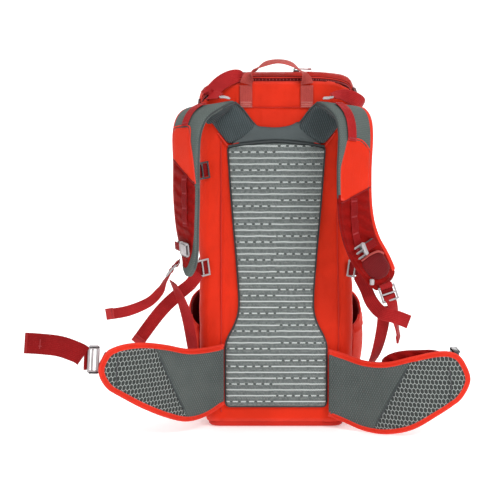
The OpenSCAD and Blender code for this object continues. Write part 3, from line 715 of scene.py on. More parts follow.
def wrinkle(P, amp=1.0, seed=0.0):
    Q = np.asarray(P, float).reshape(-1, 3)
    return (amp * (1.5 * snoise(Q, 75, seed) + 0.9 * snoise(Q * (1, 1, 2.2), 46, seed + 3) + 0.35 * snoise(Q, 16, seed + 7))).reshape(np.asarray(P).shape[:-1])


def grid_normals(G):
    du = np.gradient(G, axis=1)
    dv = np.gradient(G, axis=0)
    return unit(np.cross(du, dv))


def sheet_into(B, O, I, mat=0, mat_in=None, uv=None):
    """Closed thin wall between an outer and an inner grid of points."""
    m, n = O.shape[:2]
    o = m * n
    F, G, E = [], [], []
    for j in range(m - 1):
        for i in range(n - 1):
            a, b, c, d = j * n + i, j * n + i + 1, (j + 1) * n + i + 1, (j + 1) * n + i
            F.append([a, b, c, d])
            G.append([o + d, o + c, o + b, o + a])
    for j in range(m - 1):
        E.append([j * n, (j + 1) * n, o + (j + 1) * n, o + j * n])
        E.append([(j + 1) * n + n - 1, j * n + n - 1, o + j * n + n - 1, o + (j + 1) * n + n - 1])
    for i in range(n - 1):
        E.append([i + 1, i, o + i, o + i + 1])
        E.append([(m - 1) * n + i, (m - 1) * n + i + 1, o + (m - 1) * n + i + 1, o + (m - 1) * n + i])
    V = np.vstack([O.reshape(-1, 3), I.reshape(-1, 3)])
    if uv is None:
        lu = np.concatenate([np.zeros((m, 1)), np.cumsum(np.linalg.norm(np.diff(O, axis=1), axis=2), axis=1)], 1)
        lv = np.concatenate([np.zeros((1, n)), np.cumsum(np.linalg.norm(np.diff(O, axis=0), axis=2), axis=0)], 0)
        uv = np.stack([lu, lv], -1).reshape(-1, 2)
    UV = np.vstack([uv, uv])
    base = len(B.v)
    B.v.extend(V.tolist())
    B.uv.extend(UV.tolist())
    for fs, mm in ((F, mat), (G, mat if mat_in is None else mat_in), (E, mat)):
        for f in fs:
            B.f.append([x + base for x in f])
            B.m.append(mm)


# ------------------------------------------------------------------ shell
def half_outline(z, inn):
    w, r = hw(z), BACK_R
    yb = back_y(z) + inn
    P = [(x, yb) for x in np.linspace(0, w - r, 18)[:-1]]
    P += [(w - r + (r - inn) * math.cos(math.radians(a)), back_y(z) + r + (r - inn) * math.sin(math.radians(a))) for a in np.linspace(-90, 0, 9)]
    yf = front_y(z) - FRONT_R
    P += [(w - inn, y) for y in np.linspace(back_y(z) + r, yf, 16)[1:-1]]
    P += [(w - FRONT_R + (FRONT_R - inn) * math.cos(math.radians(a)), yf + (FRONT_R - inn) * math.sin(math.radians(a))) for a in np.linspace(0, 45, 9)]
    return np.array(P)


def z_top(x, y, k, nb):
    if k < nb:
        return float(np.interp(abs(x), [40, 70, 86, 96, 101], [531, 531, 530, 527, 524]))
    return 511.0 - (5.6 * np.clip((y - 10) / 30, 0, 1))


def shell_grid(inn):
    ref = half_outline(500, 0)
    tops = np.array([z_top(p[0], p[1], k, 18) for k, p in enumerate(ref)])
    tops[17:26] = np.interp(np.arange(17, 26), [17, 19, 21, 23, 25], [524, 520, 516, 512.5, 511])
    m = 84
    G = np.zeros((m, len(ref), 3))
    for j in range(m):
        t = j / (m - 1)
        zs = 8 + t * (tops - 8)
        for k in range(len(ref)):
            G[j, k, :2] = half_outline(zs[k], inn)[k]
            G[j, k, 2] = zs[k]
    L = G[:, ::-1].copy()
    L[..., 0] *= -1
    return np.concatenate([L[:, :-1], G], 1)


SO, SI = shell_grid(0), shell_grid(3.0)
nrm = unit(SO - SI)
amp = np.ones(SO.shape[:2])
amp *= np.clip((SO[..., 2] - 6) / 30, 0.15, 1)
d = wrinkle(SO, 1.0, 2.0) * amp
side = np.abs(SO[..., 0]) > 104
for zc in (244, 394):
    # webbing pulls the side in and lifts small puckers beside it
    g = np.exp(-(((SO[..., 2] - zc) / 17) ** 2))
    d -= np.where(side, 1.0 * g, 0)
d += np.where(~side, 0.9 * np.sin(SO[..., 2] / 17.0 + 2.5 * np.sin(SO[..., 0] / 30)) * np.clip((np.abs(SO[..., 0]) - 72) / 20, 0, 1), 0)
for xs in (-84, 93):
    # long seams of the back wall sit in a shallow groove
    d -= 1.4 * np.exp(-(((SO[..., 0] - xs) / 3.0) ** 2)) * (SO[..., 1] < -85)
flatback = (SO[..., 1] < -88) & (np.abs(SO[..., 0]) < 74)
d = np.where(flatback, np.clip(d, -2.5, 0.2), d)


def lift_bulge(P):
    return 6.0 * np.exp(-(((P[..., 2] - 500) / 24) ** 2)) * np.clip((P[..., 0] - 96) / 22, 0, 1) * np.exp(-(((P[..., 1] + 52) / 30) ** 2))


def side_bulge(P):
    x, y, z = P[..., 0], P[..., 1], P[..., 2]
    g = 6.0 * np.exp(-(((z - 320) / 38) ** 2)) + 4.0 * np.exp(-(((z - 440) / 20) ** 2))
    return -g * np.clip((-x - 98) / 18, 0, 1) * np.exp(-(((y + 40) / 40) ** 2))


SO[..., 0] += side_bulge(SO)
SI[..., 0] += side_bulge(SI)
SO[..., 0] += lift_bulge(SO)
SI[..., 0] += lift_bulge(SI)
B = Build()
sheet_into(B, sag(SO + nrm * d[..., None]), sag(SI + nrm * d[..., None]), 0, 1)
B.make("bag_shell", [M_SHELL, M_LINING], "bag", "shell_fabric", replaces=("back_wall", "side_wall_left", "side_wall_right"))

# lower front and base
AF = [46.5, 50, 55, 60, 66, 73, 81, 90]


def front_cols(z, inn):
    R = [corner(z, 1, a, inn) for a in AF]
    mid = [np.array([x, R[-1][1], z]) for x in np.linspace(R[-1][0], -R[-1][0], 16)[1:-1]]
    return np.array(R + mid + [p * np.array([-1, 1, 1]) for p in R[::-1]])


zf = np.linspace(8, 206.5, 40)
FO, FI = np.array([front_cols(z, 0) for z in zf]), np.array([front_cols(z, 3) for z in zf])
n2 = unit(FO - FI)
d2 = wrinkle(FO, 1.2, 5.0) * np.clip((FO[..., 2] - 6) / 30, 0.15, 1) + 1.0
B = Build()
sheet_into(B, FO + n2 * d2[..., None], FI + n2 * d2[..., None], 0, 1)
B.make("lower_front", [M_SHELL, M_LINING], "bag", "shell_fabric", replaces=("front_lower_panel",))

ring = [(p[0], p[1]) for p in half_outline(4, 0)] + [tuple(corner(4, 1, a, 0)[:2]) for a in AF]
poly = np.array([(-x, y) for x, y in ring[::-1]] + ring[1:])[::-1]
pad("base", poly, lambda uv, o: np.stack([uv[:, 0], uv[:, 1], 5.0 + o], -1), lambda uv, d: dome(d, 5.0, 6.0), lambda uv, d: dome(d, 5.0, 6.0), [M_SHELL_D], "bag", "shell_fabric", step=8.0, rings=(1.0, 3.0, 6.0), replaces=("base_panel",))

# opening front with the lid
TOP = [[44, 523, 0.985, 8], [18, 533, 1, 18], [-12, 540, 1, 25], [-44, 544, 1, 29], [-70, 543, 0.995, 28], [-87, 534, 0.97, 19]]


def flap_grid(inn):
    rows = []
    for z in [208, 230, 250, 275, 300, 330, 360, 400, 440, 465, 485, 500, 508]:
        rows.append(front_cols(z, inn))
    q = np.array([[1, 1], [0.99, 0.72], [0.97, 0.42], [0.93, 0.22], [0.86, 0.1], [0.76, 0.05], [0.64, 0.02], [0.5, 0]])
    for t in TOP:
        w = HALF_W * t[2] - inn * 0.5
        z = t[1] - inn
        y = t[0] - (inn * 0.8 if t[0] > 30 else inn * 0.3 if t[0] > 0 else 0)
        R = [np.array([w * a, y, z - t[3] * b]) for a, b in q]
        mid = [np.array([x, y, z]) for x in np.linspace(R[-1][0], -R[-1][0], 16)[1:-1]]
        rows.append(np.array(R + mid + [p * np.array([-1, 1, 1]) for p in R[::-1]]))
    G = np.array(rows)
    m, n = G.shape[:2]
    G = catmull(G.reshape(m, n * 3), 4).reshape(-1, n, 3)
    return G


TO, TI = flap_grid(0), flap_grid(3.0)
n3 = unit(TO - TI)
d3 = wrinkle(TO, 1.25, 9.0) + 0.6
TO[..., 0] += lift_bulge(TO)
TI[..., 0] += lift_bulge(TI)
B = Build()
sheet_into(B, sag(TO + n3 * d3[..., None]), sag(TI + n3 * d3[..., None]), 0, 1)
B.m = [2 if mm == 0 and min(B.v[i][2] for i in f) > 509 and B.v[f[0]][1] < 25 else mm for f, mm in zip(B.f, B.m)]
B.make("front_and_lid", [M_SHELL, M_LINING, M_LID], "flap", "shell_fabric", replaces=("main_flap",))

# the main zip shows as a dark line along the lid's rear edge
B = Build()
P = catmull([[-113, -86, 517], [-108, -89, 525], [-96, -90.5, 531], [-60, -91.5, 533.5], [0, -92, 533.5], [60, -91.5, 533.5], [92, -90.5, 530], [108, -89, 524], [114, -85, 515]], 6)
P = sag(P)
rows = np.array([[*p, 0, 0.15, 1, 7, 1.4] for p in P])
ribbon_into(B, rows, 1, 0)
B.make("lid_zip_tape", [M_ZIP], "flap", "zip_tape")
B = Build()
tube_into(B, P + np.array([0, -0.6, 1.6]), 1.1, 8, 0, flat=0.8)
for i in range(len(P) - 1):
    for t in (0.0, 0.5):
        c = P[i] * (1 - t) + P[i + 1] * t + np.array([0, -1.4, -1.4])
        box_into(B, c, (1, 0, 0), (0, 0, 1), (1.0, 2.6, 1.0), 1, 0.2)
B.make("lid_zip_teeth", [M_SHELL_D, M_PULL], "flap", "zip_tape")

# the zip carries on down both sides of the lid
B = Build()
k0 = int(np.argmax(TO[:, 0, 2] > 486))
for a, b in ((0, 1), (-1, -2)):
    e = unit(TO[k0:, a] - TO[k0:, b])
    P = sag(TO[k0:, a] + n3[k0:, a] * 2.2 + e * 2.0)
    ribbon_into(B, np.column_stack([P, e, np.full(len(P), 12.0), np.full(len(P), 1.4)]), 1, 0)
B.make("lid_side_zip_tape", [M_ZIP], "flap", "zip_tape")

# side zips of the opening front
for body, node, a0, a1 in (("bag", "zipper_track_body", 33, 44.5), ("flap", "zipper_track_flap", 47, 58)):
    B = Build()
    for s in (1, -1):
        O = np.array([[corner(z, 1, a, -2.8) * (s, 1, 1) for a in np.linspace(a0, a1, 4)] for z in np.linspace(212, 485, 40)])
        I = np.array([[corner(z, 1, a, -1.2) * (s, 1, 1) for a in np.linspace(a0, a1, 4)] for z in np.linspace(212, 485, 40)])
        sheet_into(B, sag(O), sag(I), 0)
        edge = np.array([corner(z, 1, a1 if body == "bag" else a0, -3.2) * (s, 1, 1) for z in np.linspace(212, 485, 120)])
        edge = sag(edge)
        tube_into(B, edge, 0.9, 6, 1)
        for p in edge[::1]:
            box_into(B, p + (0, 0.6, 0), (1, 0.4, 0), (0, 0, 1), (2.4, 1.1, 1.2), 1, 0.2)
    B.make("side_zip_" + body, [M_ZIP, M_PULL], body, "zip_tape", replaces=(node,))

# seams of the back wall
B = Build()
for pts in ([(-84, 440), (-84, 300), (-84, 150), (-86, 60), (-84, 24)], [(93, 440), (93, 300), (96, 150), (93, 60), (88, 24)]):
    C = catmull([(x, -92.6, z) for x, z in pts], 12)
    tube_into(B, C, 1.0, 8, 0)
C = catmull([(-56, -93.0, 491.4), (-20, -93.4, 490.6), (20, -93.4, 490.6), (58, -93.0, 491.4)], 8)
tube_into(B, C, 0.8, 8, 0)
B.make("back_seams", [M_SHELL_D], "bag", "shell_fabric")

# ------------------------------------------------------------------ back panel and yoke
def backmesh():
    m = Nodes("back_spacer_mesh")
    co = m.coord()
    x, y, z = m.xyz(co)
    wob = m.math("ADD", m.math("MULTIPLY", m.math("SUBTRACT", m.noise(co, 60.0, 1.0), 0.5), 0.0012), m.math("MULTIPLY", m.math("SUBTRACT", m.math("PINGPONG", x, 0.0013), 0.00065), 0.45))
    zz = m.math("ADD", z, wob)
    q = m.math("DIVIDE", zz, 0.0091)
    k = m.math("FLOOR", q)
    fr = m.math("SUBTRACT", q, k)
    dist = m.math("ABSOLUTE", m.math("SUBTRACT", fr, 0.5))
    line = m.math("SUBTRACT", 1.0, m.ramp(dist, 0.065, 0.125))
    k3 = m.math("MODULO", k, 3.0)
    is1 = m.math("LESS_THAN", m.math("ABSOLUTE", m.math("SUBTRACT", k3, 1.0)), 0.5)
    is2 = m.math("LESS_THAN", m.math("ABSOLUTE", m.math("SUBTRACT", k3, 2.0)), 0.5)
    left = m.math("LESS_THAN", x, 0.0)
    dashed = m.math("MAXIMUM", m.math("MULTIPLY", is1, left), m.math("MULTIPLY", is2, m.math("SUBTRACT", 1.0, left)))
    p = m.math("FRACT", m.math("DIVIDE", m.math("ADD", x, m.math("MULTIPLY", k, 0.0047)), 0.0125))
    dash = m.math("SUBTRACT", 1.0, m.ramp(m.math("ABSOLUTE", m.math("SUBTRACT", p, 0.5)), 0.28, 0.36))
    on = m.math("MULTIPLY", line, m.math("SUBTRACT", 1.0, m.math("MULTIPLY", dashed, m.math("SUBTRACT", 1.0, dash))))
    # finer ribs between the rows, and the knit's small holes
    rib = m.math("POWER", m.wave(m.math("ADD", zz, 0.0006), 0.0091 / 4), 1.3)
    rib = m.math("MULTIPLY", rib, m.ramp(dist, 0.12, 0.2))
    patch = m.ramp(m.noise(co, 240.0, 2.0), 0.35, 0.62)
    mid = m.math("MULTIPLY", rib, m.math("MULTIPLY_ADD", patch, 0.40, 0.22))
    row = m.math("FLOOR", m.math("DIVIDE", z, 0.0013))
    off = m.math("MULTIPLY", m.math("MODULO", row, 2.0), 0.00065)
    cell = m.math("MULTIPLY", m.wave(m.math("ADD", x, off), 0.0013), m.wave(z, 0.0013))
    warp = m.math("MULTIPLY", m.wave(m.math("ADD", m.math("MULTIPLY", x, 1.0), m.math("MULTIPLY", z, 0.6)), 0.0042), 0.35)
    base = m.mix(m.ramp(m.noise(co, 14.0, 2.0), 0.3, 0.7), lin((102, 109, 107)), lin((116, 123, 120)))
    base = m.mix(m.math("MULTIPLY", cell, 0.55), tuple(c * 0.66 for c in lin((96, 102, 101))), base)
    base = m.mix(m.math("ADD", mid, m.math("MULTIPLY", warp, 0.15)), base, lin((168, 176, 174)))
    yarn = m.mix(m.wave(m.math("ADD", x, m.math("MULTIPLY", z, 0.5)), 0.0012), lin((188, 196, 194)), lin((236, 242, 240)))
    col = m.mix(on, base, yarn)
    h = m.math("ADD", m.math("MULTIPLY", on, 1.0), m.math("MULTIPLY", cell, 0.3))
    b = m.bump(h, 0.0009, 0.9)
    return m.done(col, 0.8, b, Sheen_Weight=0.03, Sheen_Roughness=0.5, IOR=1.2)


M_BACK = backmesh()
half = [(76, 32), (78, 40), (78, 128), (74, 140), (63, 160), (57, 180), (57, 205), (61, 262), (68, 342), (74, 430), (50, 434.5), (0, 438.5)]
poly = np.array(half + [(-x, z) for x, z in half[:-1]][::-1])
poly = round_corners(poly, [4, 6, 14, 10, 14, 12, 20, 30, 40, 4, 14, 20, 14, 4, 40, 30, 20, 12, 14, 10, 14, 6, 4], 5)


def on_back(y0):
    return lambda uv, o: np.stack([uv[:, 0], y0 - o, uv[:, 1]], -1)


def mesh_front(uv, d):
    P = np.stack([uv[:, 0], 0 * d, uv[:, 1]], -1)
    h = dome(d, 7.6, 5.5)
    rib = 0.35 * np.sin(uv[:, 1] / 9.1 * 2 * math.pi) * np.clip(d / 8, 0, 1)
    return h + 0.5 * snoise(P, 60, 4.0) * np.clip(d / 10, 0, 1) + rib


pad("back_spacer_panel", poly, on_back(-93.0), mesh_front, lambda uv, d: 0 * d + 0.6, [M_BACK, M_PIPING], "bag", "back_mesh", step=3.0, rings=(0.6, 1.6, 3.0, 4.6, 6.6), zone=lambda c, d, f: np.where((d < 1.3) | (not f), 1, 0), replaces=("back_mesh_panel",), padded=0.9)
B = Build()
e = resample(poly, 4.0)
tube_into(B, np.stack([e[:, 0], 0 * e[:, 0] - 94.0, e[:, 1]], -1), 1.2, 8, 0, closed=True)
c = catmull([(-73, -96.4, 431.5), (-50, -97.2, 435.2), (0, -97.6, 439.4), (50, -97.2, 435.2), (73, -96.4, 431.5)], 10)
tube_into(B, c, 1.9, 8, 0)
B.make("back_panel_piping", [M_PIPING], "bag", "shell_fabric")

# yoke: two rib knit arms with a smooth band between them
ARM = np.array([(62, 497), (51, 486.5), (38, 469.5), (30, 460.5), (49.4, 444.8), (72, 434.5), (88, 454), (103, 474), (95, 490), (80, 497)])


def yoke_front(uv, d):
    P = np.stack([uv[:, 0], 0 * d, uv[:, 1]], -1)
    return dome(d, 8.4, 9.0) + 0.4 * snoise(P, 30, 6.0) * np.clip(d / 8, 0, 1)


for s, nm in ((1, "right"), (-1, "left")):
    p = round_corners(ARM * (s, 1), [6, 10, 14, 8, 8, 6, 20, 12, 10, 8], 5)
    pad("yoke_arm_" + nm, p, on_back(-93.2), yoke_front, lambda uv, d: 0 * d + 0.5, [M_YOKE], "bag", "yoke_knit", step=2.8, replaces=("shoulder_yoke",) if s > 0 else (), padded=0.9,
        uvs=lambda V: np.stack([V[:, 0] * 0.94 + V[:, 1] * 0.34, V[:, 1] * 0.94 - V[:, 0] * 0.34], -1))
    B = Build()
    low = catmull(np.array([(30, -93.8, 459.6), (38, -94.6, 450.5), (49.4, -95.2, 442.6), (60, -95.2, 436.5), (72, -94.8, 432.4), (80, -94.4, 441), (88, -94.2, 452)]) * (s, 1, 1), 6)
    tube_into(B, low, 1.5, 8, 0)
    B.make("yoke_piping_low_" + nm, [M_BIND], "bag", "shell_fabric")
    B = Build()
    top = catmull(np.array([(29, -94, 461.5), (38, -94.6, 471), (51, -95.4, 488), (63, -95.4, 499)]) * (s, 1, 1), 6)
    tube_into(B, top, 1.2, 8, 0)
    B.make("yoke_piping_top_" + nm, [M_PIPING], "bag", "shell_fabric")
band = np.array([(-38, 468.5), (-28, 462), (0, 459.8), (22, 463.2), (33, 470), (40, 464), (52, 448), (72, 434), (50, 436.4), (30, 438.8), (0, 440.2), (-30, 438.8), (-50, 436.4), (-72, 434), (-52, 448), (-40, 464)])
M_BAND = knit("yoke_smooth_knit", lin((80, 87, 88)), pitch=0.0018, depth=0.0002, hi=lin((100, 108, 109)))
pad("yoke_band", round_corners(band, 8, 4), on_back(-93.1), lambda uv, d: dome(d, 5.6, 8.0), lambda uv, d: 0 * d + 0.4, [M_BAND], "bag", "yoke_knit", step=3.2, padded=0.9)

# ------------------------------------------------------------------ shoulder straps
STRAP_R = np.array([[81, -108, 479, -0.8, 0.1, 0.58, 52, 10], [87, -125, 487, -0.86, -0.12, 0.24, 56, 12], [98, -147, 488, -0.85, -0.33, 0.08, 60, 12], [109, -168, 476, -0.83, -0.5, 0, 60, 12],
    [113, -180, 450, -0.82, -0.56, 0, 60, 12], [111, -186, 400, -0.82, -0.57, 0, 60, 12], [112, -186, 350, -0.82, -0.57, 0, 60, 12], [117, -183, 314, -0.83, -0.55, -0.1, 60, 12],
    [127, -177, 285, -0.82, -0.48, -0.3, 58, 12], [141, -167, 262, -0.75, -0.42, -0.5, 56, 12], [153, -157, 244, -0.72, -0.36, -0.55, 50, 11], [164, -149, 229, -0.72, -0.3, -0.6, 38, 9]], float)
STRAP_L = np.array([[81, -108, 479, -0.8, 0.1, 0.58, 52, 10], [90, -125, 487, -0.84, -0.18, 0.24, 56, 12], [107, -147, 487, -0.78, -0.45, 0.06, 60, 12], [123, -167, 475, -0.7, -0.64, 0, 60, 12],
    [131, -180, 450, -0.64, -0.74, 0, 60, 12], [132, -187, 410, -0.6, -0.8, 0, 60, 12], [132, -188, 360, -0.6, -0.8, 0, 60, 12], [131, -186, 315, -0.55, -0.83, 0, 56, 12],
    [129, -181, 282, -0.45, -0.89, 0, 52, 12], [130, -174, 260, -0.38, -0.92, 0, 42, 12], [134, -168, 246, -0.38, -0.92, 0, 26, 10]], float)


class Strap:
    """A curved padded strap: u across in mm (medial positive), s along in mm, o outward."""

    def __init__(self, table, sx):
        self.k = 10
        R = catmull(table, self.k)
        self.R = R
        self.L = arc(R[:, :3])
        self.T, self.W, self.N = frames(R[:, :3], R[:, 3:6])
        self.sx = sx

    def at(self, s):
        s = np.atleast_1d(s)
        f = lambda A: np.stack([np.interp(s, self.L, A[:, i]) for i in range(A.shape[1])], -1)
        over = np.clip(s - self.L[-1], 0, None)[:, None] + np.clip(s, None, 0)[:, None]
        T = unit(f(self.T))
        return f(self.R[:, :3]) + T * over, T, unit(f(self.W)), unit(f(self.N)), np.interp(s, self.L, self.R[:, 6]), np.interp(s, self.L, self.R[:, 7])

    def face(self, u, s):
        """Half thickness of the strap under a point."""
        C, T, W, N, w, t = self.at(s)
        q = np.clip(np.abs(u) / (w / 2), 0, 0.999)
        return t / 2 * (1 - q**4.5) ** (1 / 2.2)

    def pts(self, uv, o, on_face=True):
        u, s = uv[:, 0], uv[:, 1]
        C, T, W, N, w, t = self.at(s)
        h = self.face(u, s) if on_face else 0
        P = C + W * u[:, None] + N * (h + o)[:, None]
        P[:, 0] *= self.sx
        return P


def strap_body(st, name, body, node, seed, lower=None):
    n = 44
    S = np.linspace(0, st.L[-1], 120)
    C, T, W, N, w, t = st.at(S)
    rings, uvs = [], []
    wr = snoise(np.stack([S * 0 + seed, S * 0, S], -1), 40, seed)
    for i in range(len(S)):
        e = min(S[i], st.L[-1] - S[i])
        cap = 1 - 0.35 * max(0, 1 - e / 6.0) ** 2
        thin = 1 - 0.6 * max(0, 1 - S[i] / 16.0) ** 1.5
        for j in range(n):
            a = 2 * math.pi * j / n
            c, s_ = math.cos(a), math.sin(a)
            x = math.copysign(abs(c) ** 0.5, c) * w[i] / 2 * cap
            y = math.copysign(abs(s_) ** 0.62, s_) * t[i] / 2 * cap * thin * (1 + 0.05 * wr[i])
            rings.append(C[i] + W[i] * x + N[i] * y)
            uvs.append((x + (0 if s_ > 0 else 90), S[i]))
    R = np.array(rings).reshape(len(S), n, 3)
    R[..., 0] *= st.sx
    B = Build()
    F = []
    m = len(S)
    lab = []
    for j in range(m - 1):
        for i in range(n):
            F.append([j * n + i, j * n + (i + 1) % n, (j + 1) * n + (i + 1) % n, (j + 1) * n + i])
            back = i >= n // 2
            # faces near the strap's start take the darker yoke knit: painted shade where the strap meets the yoke arm
            lab.append(1 if S[j] < (40 if back else 15) else 2 if lower is not None and S[j] > lower and not (n * 0.6 < i < n * 0.9) else 0)
    F += [list(range(n))[::-1], [(m - 1) * n + i for i in range(n)]]
    lab += [1, 0 if lower is None else 2]
    B.add(R.reshape(-1, 3), F, 0, np.array(uvs))
    B.m = lab
    return B.make(name, [M_KNIT, M_YOKE, M_DARKRED], body, "strap_foam", replaces=(node,), padded=0.9)


def strap_overlay(st, name, poly, mats, body, slot, height=1.6, R=4.0, step=2.6, zone=None, quilt=None, base=0.1, replaces=(), corners=5, uvs=None):
    p = round_corners(np.array(poly, float), corners, 4)

    def front(uv, d):
        h = base + dome(d, height, R)
        if quilt is not None:
            h = h + quilt(uv, d)
        return h

    return pad(name, p, lambda uv, o: st.pts(uv, o), front, lambda uv, d: 0 * d + 0.5, mats, body, slot, step=step, rings=(0.6, 1.8, 3.6), zone=zone, replaces=replaces, uvs=uvs)


def strap_web(st, name, rows, body, mat, node=(), bartacks=(), th=1.4, loops=0.0):
    """Tape sewn along the strap's face: rows of u, s, width; lifted between bartacks."""
    R = catmull(np.array(rows, float), 8)
    s = np.linspace(R[0, 1], R[-1, 1], int((R[-1, 1] - R[0, 1]) / 1.6))
    u = np.interp(s, R[:, 1], R[:, 0])
    w = np.interp(s, R[:, 1], R[:, 2])
    lift = np.full(len(s), 0.9 + th / 2)
    if len(bartacks):
        bt = np.array(bartacks, float)
        for a, b in zip(bt[:-1], bt[1:]):
            k = (s > a) & (s < b)
            lift[k] += loops * np.sin(np.pi * (s[k] - a) / (b - a)) ** 0.8
    uv = np.stack([u, s], -1)
    P = st.pts(uv, lift + 1.0)
    C, T, W, N, _, _ = st.at(s)
    W = W * (st.sx, 1, 1)
    rows2 = np.concatenate([P, W, w[:, None], np.full((len(s), 1), th)], 1)
    B = Build()
    ribbon_into(B, rows2, 1, 0)
    T2 = unit(np.gradient(P, axis=0))
    N2 = N * (st.sx, 1, 1)
    for b in bartacks:
        i = int(np.argmin(abs(s - b)))
        box_into(B, P[i] + N2[i] * (th / 2 + 0.25), W[i], T2[i], (w[i] * 0.86, 2.2, 0.9), 1, 0.4)
    return B.make(name, [mat, M_THREAD], body, "webbing", replaces=node)


def strap_edge(st, name, side, s0, s1, r, mat, body, slot="shell_fabric", out=0.0, flat=1.0, lift=0.0):
    s = np.linspace(s0, s1, int((s1 - s0) / 3))
    C, T, W, N, w, t = st.at(s)
    u = side * (w / 2 - 0.8 + out)
    P = C + W * u[:, None] + N * lift
    P[:, 0] *= st.sx
    rr = np.full(len(s), r) * np.clip(np.minimum(s - s0, s1 - s) / 6, 0.4, 1)
    up = N * (st.sx, 1, 1)
    B = Build()
    tube_into(B, P, rr, 12, 0, flat=flat, up=up)
    return B.make(name, [mat], body, slot)


SR_, SL_ = Strap(STRAP_R, 1), Strap(STRAP_L, -1)


def quilt_r(uv, d):
    q = 0.5 * np.cos((uv[:, 1] * 0.9 + uv[:, 0] * 0.35) / 21 * 2 * math.pi)
    P = np.stack([uv[:, 0], 0 * d, uv[:, 1]], -1)
    return (q + 0.9 * snoise(P, 17, 3.3)) * np.clip(d / 6, 0, 1) * 0.75


strap_body(SR_, "strap_right_body", "strap_right", "shoulder_strap_right", 1.0, 186)
strap_body(SL_, "strap_left_body", "strap_left", "shoulder_strap_left", 5.0)

strap_overlay(SR_, "strap_right_orange_panel", [(18, 110), (-6, 110), (-22, 121), (-24.5, 125), (-24.5, 179), (0, 188), (28, 198), (28, 150), (19, 112)], [M_SHELL], "strap_right", "shell_fabric", height=1.3)
strap_overlay(SR_, "strap_right_red_panel", [(-24.5, 179), (0, 188), (28, 198), (28.5, 230), (27, 262), (24, 300), (14, 335), (-8, 337), (-16, 320), (-21.5, 290), (-24.5, 240)], [M_DARKRED], "strap_right", "pocket_fabric", height=2.0, quilt=quilt_r)
strap_overlay(SL_, "strap_left_orange_panel", [(-27.5, 96), (8, 99), (17, 124), (24, 150), (28, 178), (0, 160), (-27.5, 141)], [M_SHELL], "strap_left", "shell_fabric", height=1.3)
strap_overlay(SL_, "strap_left_red_panel", [(-27.5, 143), (0, 161), (28, 180), (27, 215), (25, 250), (20, 275), (9, 300), (0, 307), (-9, 300), (-15, 285), (-22, 260), (-26, 230)], [M_DARKRED], "strap_left", "pocket_fabric", height=2.0, quilt=quilt_r)
tk = [197 + 22 * i for i in range(4)]
strap_web(SR_, "strap_right_daisy_tape", [[6.5, 192, 12], [7.5, 199, 12], [10, 224, 12], [12.5, 251, 12], [12.5, 270, 12]], "strap_right", M_WEB_D, ("sternum_rail_right",), tk, loops=1.4)
strap_web(SR_, "strap_right_top_tape", [[11, 46, 14], [11.5, 75, 15], [12, 112, 15]], "strap_right", M_WEB, (), [50, 108], loops=0.3)
tk = [172 + 21 * i for i in range(4)]
strap_web(SL_, "strap_left_daisy_tape", [[7, 166, 12], [7.5, 200, 12], [7.5, 240, 12]], "strap_left", M_WEB_D, ("sternum_rail_left",), tk, loops=1.4)
strap_web(SL_, "strap_left_top_tape", [[-2, 48, 13], [-1, 75, 13], [-0.5, 97, 13]], "strap_left", M_WEB, (), [52, 94], loops=0.3)
# orange binding outside, grey piping towards the neck, red piping below
strap_edge(SR_, "strap_right_outer_binding", -1, 22, 337, 5.0, M_BIND, "strap_right", out=-2.6, lift=1.2, flat=0.86)
strap_edge(SR_, "strap_right_inner_piping", 1, 12, 196, 1.6, M_PIPING, "strap_right")
strap_edge(SR_, "strap_right_inner_binding", 1, 196, 334, 1.4, M_WEB_D, "strap_right")
strap_edge(SL_, "strap_left_outer_binding", -1, 22, 300, 3.2, M_BIND, "strap_left", out=-0.4, lift=0.8)
strap_edge(SL_, "strap_left_inner_piping", 1, 12, 180, 1.6, M_PIPING, "strap_left")
strap_edge(SL_, "strap_left_inner_binding", 1, 180, 300, 1.3, M_PIPING, "strap_left")
# seams at the coloured panels' upper edges
for st, nm, body, pts in ((SR_, "right", "strap_right", [(18, 109), (-6, 109), (-22, 120), (-28, 126)]), (SL_, "left", "strap_left", [(-28, 95), (8, 98), (17, 123), (24, 149), (28, 178)])):
    B = Build()
    c = catmull(np.array(pts, float), 8)
    tube_into(B, st.pts(c, np.full(len(c), 0.7)), 1.1, 8, 0)
    B.make("strap_%s_panel_seam" % nm, [M_BIND], body, "shell_fabric")
    c = catmull(np.array([(-28, 178), (0, 188), (28, 198)] if nm == "right" else [(-28, 142), (0, 160), (28, 179)], float), 8)
    B = Build()
    tube_into(B, st.pts(c, np.full(len(c), 1.2)), 1.0, 8, 0)
    B.make("strap_%s_lower_seam" % nm, [M_WEB_D], body, "shell_fabric")

# stretch mesh pocket with a cord lock bead on the right strap
pk = [(18, 279), (3, 280), (-12, 285), (-17, 293), (-18, 318), (-6, 328), (12, 322), (20, 305), (22, 290)]
strap_overlay(SR_, "strap_right_mesh_pocket", pk, [M_MESHDARK], "strap_right", "stretch_mesh", height=4.2, R=9.0, base=2.2, replaces=("strap_pocket_right",), corners=6)
B = Build()
c = catmull(np.array([(18.5, 278), (3, 279), (-11, 284), (-18, 294)], float), 8)
tube_into(B, SR_.pts(c, 4.2 + 0.8 * np.sin(np.linspace(0, math.pi, len(c)))), 1.7, 10, 0)
B.make("strap_right_pocket_rim", [M_WEB_P], "strap_right", "webbing")
B = Build()
c0 = SR_.pts(np.array([(21.8, 315.0)]), np.array([5.0]))[0]
tube_into(B, np.array([c0 + (0, 0, 4.5), c0 + (0, 0, 3.6), c0 + (0, 0, -3.6), c0 + (0, 0, -4.5)]), np.array([2.2, 3.4, 3.4, 2.2]), 16, 0)
B.make("strap_right_cord_lock", [M_BUCKLE], "strap_right", "buckle_plastic")

